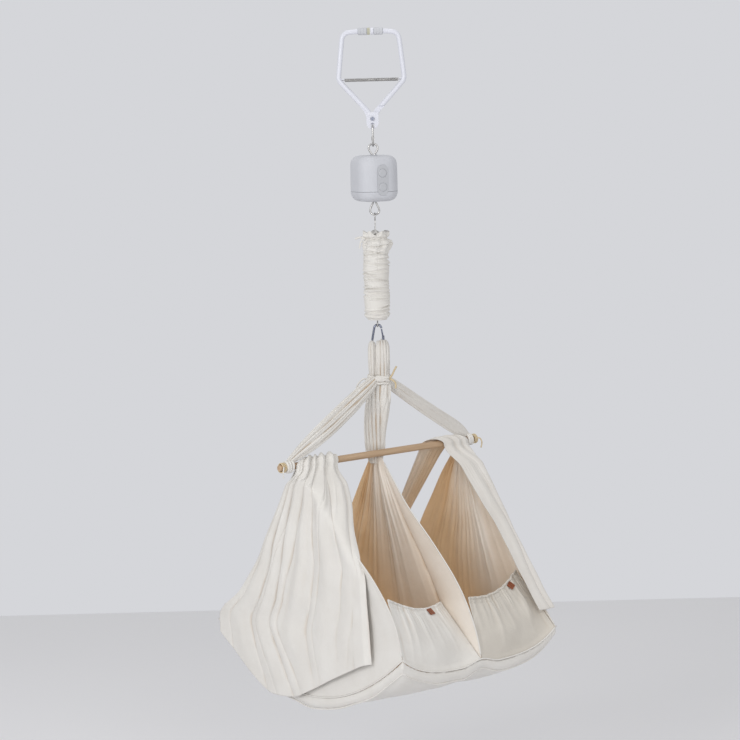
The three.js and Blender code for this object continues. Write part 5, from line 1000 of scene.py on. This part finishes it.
def free_cord(name, level, places, radius, material=COTTON, body="cradle", count=30, turned=True, nodes=()):
    """A short tail that keeps its bend. Its places have their heights from the level, and its far end is bare."""
    path = curve_through([(x, y, level + rise) for x, y, rise in places], count)
    path = chained(path) if turned else path
    made = tube(name, path, radius, material, 8)
    dressed(made, *nodes, body=body, slot="cord")


def knot_tails():
    up = [(0.031, -0.012, 0.002), (0.037, -0.013, 0.010), (0.043, -0.012, 0.022), (0.050, -0.009, 0.034)]
    down = [(0.031, -0.013, -0.001), (0.038, -0.015, -0.004), (0.046, -0.015, -0.013), (0.046, -0.014, -0.028)]
    curl = [
        (-0.030, -0.014, -0.002), (-0.042, -0.018, 0.002), (-0.056, -0.020, -0.008),
        (-0.064, -0.019, -0.026), (-0.060, -0.017, -0.044), (-0.051, -0.018, -0.048),
        (-0.045, -0.020, -0.036), (-0.046, -0.021, -0.020), (-0.053, -0.021, -0.012),
    ]
    free_cord("knot_tail_up", PINCH_Z, up, 0.0026, CORD, nodes=("knot_tie",))
    free_cord("knot_tail_down", PINCH_Z, down, 0.0026, CORD)
    free_cord("knot_curl", PINCH_Z, curl, 0.0024, count=50)


knot_tails()


def lashings():
    turn = np.linspace(0, 2 * math.pi, 41)
    radius = BAR_R + 0.0023
    tail = [(0.364, -0.0125, 0.003), (0.369, -0.018, 0.002), (0.374, -0.021, -0.010), (0.372, -0.019, -0.026)]
    for side, hand, material in ((-1, "left", COTTON), (1, "right", CORD)):
        for k in range(3):
            x = side * (0.3645 - k * 0.0045)
            loop = stack(x + 0.001 * np.sin(turn * 2 + k), radius * np.cos(turn), BAR_Z + radius * np.sin(turn))
            made = tube(f"bar_lashing_{hand}_{k}", loop, 0.002, CORD, 8)
            dressed(made, *([f"bar_lashing_{hand}"] if k == 0 else []), slot="cord")
        places = [(side * x, y, rise) for x, y, rise in tail]
        free_cord(f"bar_tail_{hand}", BAR_Z, places, 0.0018, material, turned=False)


lashings()


# Springs and the sleeve
SLEEVE_TOP_Z, SLEEVE_LOW_Z = -0.5587, -0.8045
SPRING_TOP_Z, SPRING_LOW_Z = -0.5870, -0.7973
SLEEVE_BORE_R = 0.0172
NECK_SHARE = 0.070
CLAMP_SPRING_Z, CLAMP_SPRING_HALF = -0.134, 0.074
CLAMP_WIRE_R = 0.00085


def helix(radius, start, end, turns, steps=12):
    share = np.linspace(0, 1, turns * steps + 1)
    a = share * turns * 2 * math.pi
    return radius * np.cos(a), radius * np.sin(a), mix(start, end, share)


def main_spring():
    x, y, z = helix(0.0134, SPRING_TOP_Z - 0.0025, SPRING_LOW_Z + 0.0025, 46)
    made = tube("main_spring_coil", chained(stack(x, y, z)), 0.0016, STEEL, 6)
    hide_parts("main_spring")
    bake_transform(made)


def sleeve():
    rows, sides = 300, 144
    t = np.linspace(0, 1, rows)[:, None]
    a = np.linspace(0, 2 * math.pi, sides, endpoint=False)[None, :]
    pick = np.random.default_rng(161)
    radius = 0.0350 + 0.0012 * np.sin(2 * math.pi * t * 3 + np.sin(a))
    for _ in range(46):
        place = pick.uniform(0.10, 0.97)
        slant = pick.uniform(-0.035, 0.035) * np.sin(a + pick.uniform(0, 6.3))
        facing = np.angle(np.exp(1j * (a - pick.uniform(0, 2 * math.pi))))
        window = np.exp(-((facing / pick.uniform(0.5, 1.3)) ** 2))
        away = np.abs((t - place - slant) / pick.uniform(0.005, 0.010))
        radius = radius - pick.uniform(0.002, 0.0060) * window * np.exp(-(away**1.3))
        radius = radius + 0.0026 * window * np.exp(-((np.abs(away) - 2.6) ** 2) / 1.5)
    neck = np.exp(-(((t - NECK_SHARE) / 0.020) ** 2))
    ruffle = 1 - smooth(t / 0.06)
    radius = radius * (1 - 0.30 * neck) + ruffle * (0.004 * np.cos(7 * a) + 0.003 * np.sin(11 * a + 1) - 0.003)
    bulge = np.exp(-(((t - 0.13) / 0.08) ** 2)) * np.exp(-((np.angle(np.exp(1j * (a - 0.1))) / 0.8) ** 2))
    puff = 0.003 * np.sin(9 * a + 14 * t) * np.exp(-(((t - 0.14) / 0.07) ** 2))
    radius = radius + 0.010 * bulge + puff
    seam = np.angle(np.exp(1j * (a + math.pi / 2 - 0.15)))
    radius = radius - 0.0022 * np.exp(-((seam / 0.035) ** 2)) * smooth((0.5 - t) / 0.1) * smooth((t - 0.09) / 0.03)
    radius = radius * (1 - 0.25 * smooth((t - 0.955) / 0.045))
    z = mix(SLEEVE_TOP_Z, SLEEVE_LOW_Z, t) + ruffle * 0.005 * np.sin(5 * a)
    outside = stack(radius * np.cos(a), radius * np.sin(a), z)
    bores = [
        stack(SLEEVE_BORE_R * np.cos(a), SLEEVE_BORE_R * np.sin(a), level)
        for level in (SLEEVE_TOP_Z - 0.006, SLEEVE_LOW_Z + 0.002)
    ]
    points = chained(np.concatenate([bores[0], outside, bores[1]])).reshape(-1, 3)
    faces = [face[::-1] for face in grid_faces(rows + 2, sides, wrap=True)]
    made = new_object("spring_sleeve_cloth", points, faces, COTTON)
    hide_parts("spring_sleeve")
    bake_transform(made)


def drawstring():
    neck_z = mix(SLEEVE_TOP_Z, SLEEVE_LOW_Z, NECK_SHARE)
    turn = np.linspace(math.radians(195), math.radians(525), 60)
    loop = stack(0.0262 * np.cos(turn), 0.0262 * np.sin(turn), neck_z + 0.002 * np.sin(turn * 3))
    made = tube("sleeve_drawstring_loop", chained(loop), 0.0016, COTTON, 8)
    dressed(made, "sleeve_drawstring", body="spring_unit", slot="cord")
    upper = [(-0.026, -0.006, 0), (-0.035, -0.011, 0.004), (-0.047, -0.013, 0.004), (-0.057, -0.012, 0.001)]
    lower = [(-0.026, -0.007, 0), (-0.034, -0.012, 0.001), (-0.042, -0.015, -0.010), (-0.045, -0.015, -0.026)]
    free_cord("sleeve_tie_upper", neck_z, upper, 0.0028, body="spring_unit")
    free_cord("sleeve_tie_lower", neck_z, lower, 0.0025, body="spring_unit")


def wire_eyes():
    """The drive's two eyes: drops of bent wire whose legs come together in the housing."""
    upper = [
        (0.0024, -0.352), (0.0030, -0.3425), (0.0078, -0.3350), (0.0122, -0.3265),
        (0.0122, -0.3200), (0.0078, -0.3140), (0.0, -0.312014),
    ]
    lower = [
        (0.0024, -0.455), (0.0030, -0.4725), (0.0085, -0.4850), (0.0125, -0.4950),
        (0.0122, -0.5015), (0.0078, -0.5072), (0.0, -0.509214),
    ]
    for name, half, body, node in (
        ("top_eye_wire", upper, "drive", "drive_top_eye"),
        ("bottom_eye_wire", lower, "bob", "drive_bottom_eye"),
    ):
        places = [(x, 0, z) for x, z in half] + [(-x, 0, z) for x, z in half[-2::-1]]
        wire = tube(name, chained(curve_through(places, 90)), 0.0026, STEEL, 12)
        dressed(wire, node, body=body, slot="steel")


def clamp_spring():
    x, y, z = helix(0.0041, -CLAMP_SPRING_HALF, CLAMP_SPRING_HALF, 78, 10)
    made = tube("clamp_spring_coil", chained(stack(z, y, x + CLAMP_SPRING_Z)), CLAMP_WIRE_R, STEEL, 6)
    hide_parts("clamp_spring")
    ends = chained([[-CLAMP_SPRING_HALF, 0, CLAMP_SPRING_Z], [CLAMP_SPRING_HALF, 0, CLAMP_SPRING_Z]])
    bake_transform(made)
    tip = [(0.0738, -0.0041, -0.134), (0.078, -0.002, -0.134), (0.0805, 0.0, -0.1338), (0.0825, 0.002, -0.134)]
    for side, body in ((-1, "clamp_left"), (1, "clamp_right")):
        path = chained(curve_through([(side * x, y, z) for x, y, z in tip], 16))
        dressed(tube(f"clamp_spring_end_{body}", path, CLAMP_WIRE_R, STEEL, 8), body=body, slot="steel")


main_spring()
sleeve()
drawstring()
wire_eyes()
clamp_spring()


# Frame nodes that stay: finer shading and their materials
def rounding_group():
    """Welds and rounds a frame node's mesh, and keeps its sharp edges sharp."""
    group = bpy.data.node_groups.new("fine_rounding", "GeometryNodeTree")
    for way in ("INPUT", "OUTPUT"):
        group.interface.new_socket("Geometry", in_out=way, socket_type="NodeSocketGeometry")

    def sharper(degrees):
        angle = add_node(group, "GeometryNodeInputMeshEdgeAngle").outputs["Unsigned Angle"]
        inputs = {"A": angle, "B": math.radians(degrees)}
        compare = add_node(group, "FunctionNodeCompare", inputs, data_type="FLOAT", operation="GREATER_THAN")
        return compare.outputs["Result"]

    start = add_node(group, "NodeGroupInput").outputs[0]
    weld = add_node(group, "GeometryNodeMergeByDistance", {"Geometry": start, "Distance": 0.00002})
    inputs = {"Mesh": weld.outputs["Geometry"], "Level": 2, "Edge Crease": sharper(50)}
    fine = add_node(group, "GeometryNodeSubdivisionSurface", inputs)
    smooth_faces = add_node(group, "GeometryNodeSetShadeSmooth", {"Geometry": fine.outputs["Mesh"]})
    inputs = {"Geometry": smooth_faces.outputs["Geometry"], "Selection": sharper(40), "Shade Smooth": False}
    edge = add_node(group, "GeometryNodeSetShadeSmooth", inputs, domain="EDGE")
    add_node(group, "NodeGroupOutput", {0: edge.outputs["Geometry"]})
    return group


def finish_nodes():
    group = rounding_group()
    slots = {part["node"]: part["material_slot"] for part in frame["record"]["subparts"]}
    for name, node in frame["nodes"].items():
        node.data.materials.clear()
        node.data.materials.append(SLOT_MATERIALS[slots[name]])
        if not node.hide_render:
            rounding = node.modifiers.new("fine_rounding", "NODES")
            rounding.node_group = group


finish_nodes()


# Studio
LAMP_AIM_Z = -1.45
def studio():
    scene = bpy.context.scene
    scene.view_settings.view_transform = "Standard"
    world = bpy.data.worlds.new("studio")
    scene.world = world
    world.use_nodes = True
    tree = world.node_tree
    tree.nodes.clear()
    seen = add_node(tree, "ShaderNodeBackground", {"Color": (0.665, 0.672, 0.700, 1)})
    light = add_node(tree, "ShaderNodeBackground", {"Color": (1.0, 1.0, 1.0, 1), "Strength": 0.56})
    path = add_node(tree, "ShaderNodeLightPath")
    rays = [path.outputs[ray] for ray in ("Is Camera Ray", "Is Glossy Ray", "Is Transmission Ray")]
    inputs = {"Fac": combined(tree, "MAXIMUM", rays), 1: light.outputs["Background"], 2: seen.outputs["Background"]}
    choose = add_node(tree, "ShaderNodeMixShader", inputs)
    add_node(tree, "ShaderNodeOutputWorld", {"Surface": choose.outputs["Shader"]})

    half = 3.0
    c, s = math.cos(CAMERA_AZIMUTH), math.sin(CAMERA_AZIMUTH)
    corners = [(-half, -half), (half, -half), (half, half), (-half, half)]
    points = [(x * c - y * s, x * s + y * c, FLOOR_Z) for x, y in corners]
    pale = new_material("pale_floor", lambda tree: {
        "Base Color": ramp(tree, speckle(tree, 0.8, 2), (0.835, 0.835, 0.86), (0.845, 0.845, 0.87)),
        "Roughness": 0.9,
    })
    floor = new_object("floor", points, [(0, 1, 2, 3)], pale, False)

    for name, spot, size, power in (
        ("key", (-5.0, -1.3, 0.6), 2.4, 82),
        ("front", (-2.4, -4.7, 0.5), 2.6, 60),
        ("top", (0.3, 0.3, 3.2), 2.5, 34),
    ):
        data = bpy.data.lights.new(name, "AREA")
        data.shape = "DISK"
        data.size = size
        data.energy = power
        lamp = bpy.data.objects.new(name, data)
        bpy.context.scene.collection.objects.link(lamp)
        lamp.location = spot
        aim = Vector((0, 0, LAMP_AIM_Z)) - Vector(spot)
        lamp.rotation_mode = "QUATERNION"
        lamp.rotation_quaternion = aim.to_track_quat("-Z", "Y")


studio()
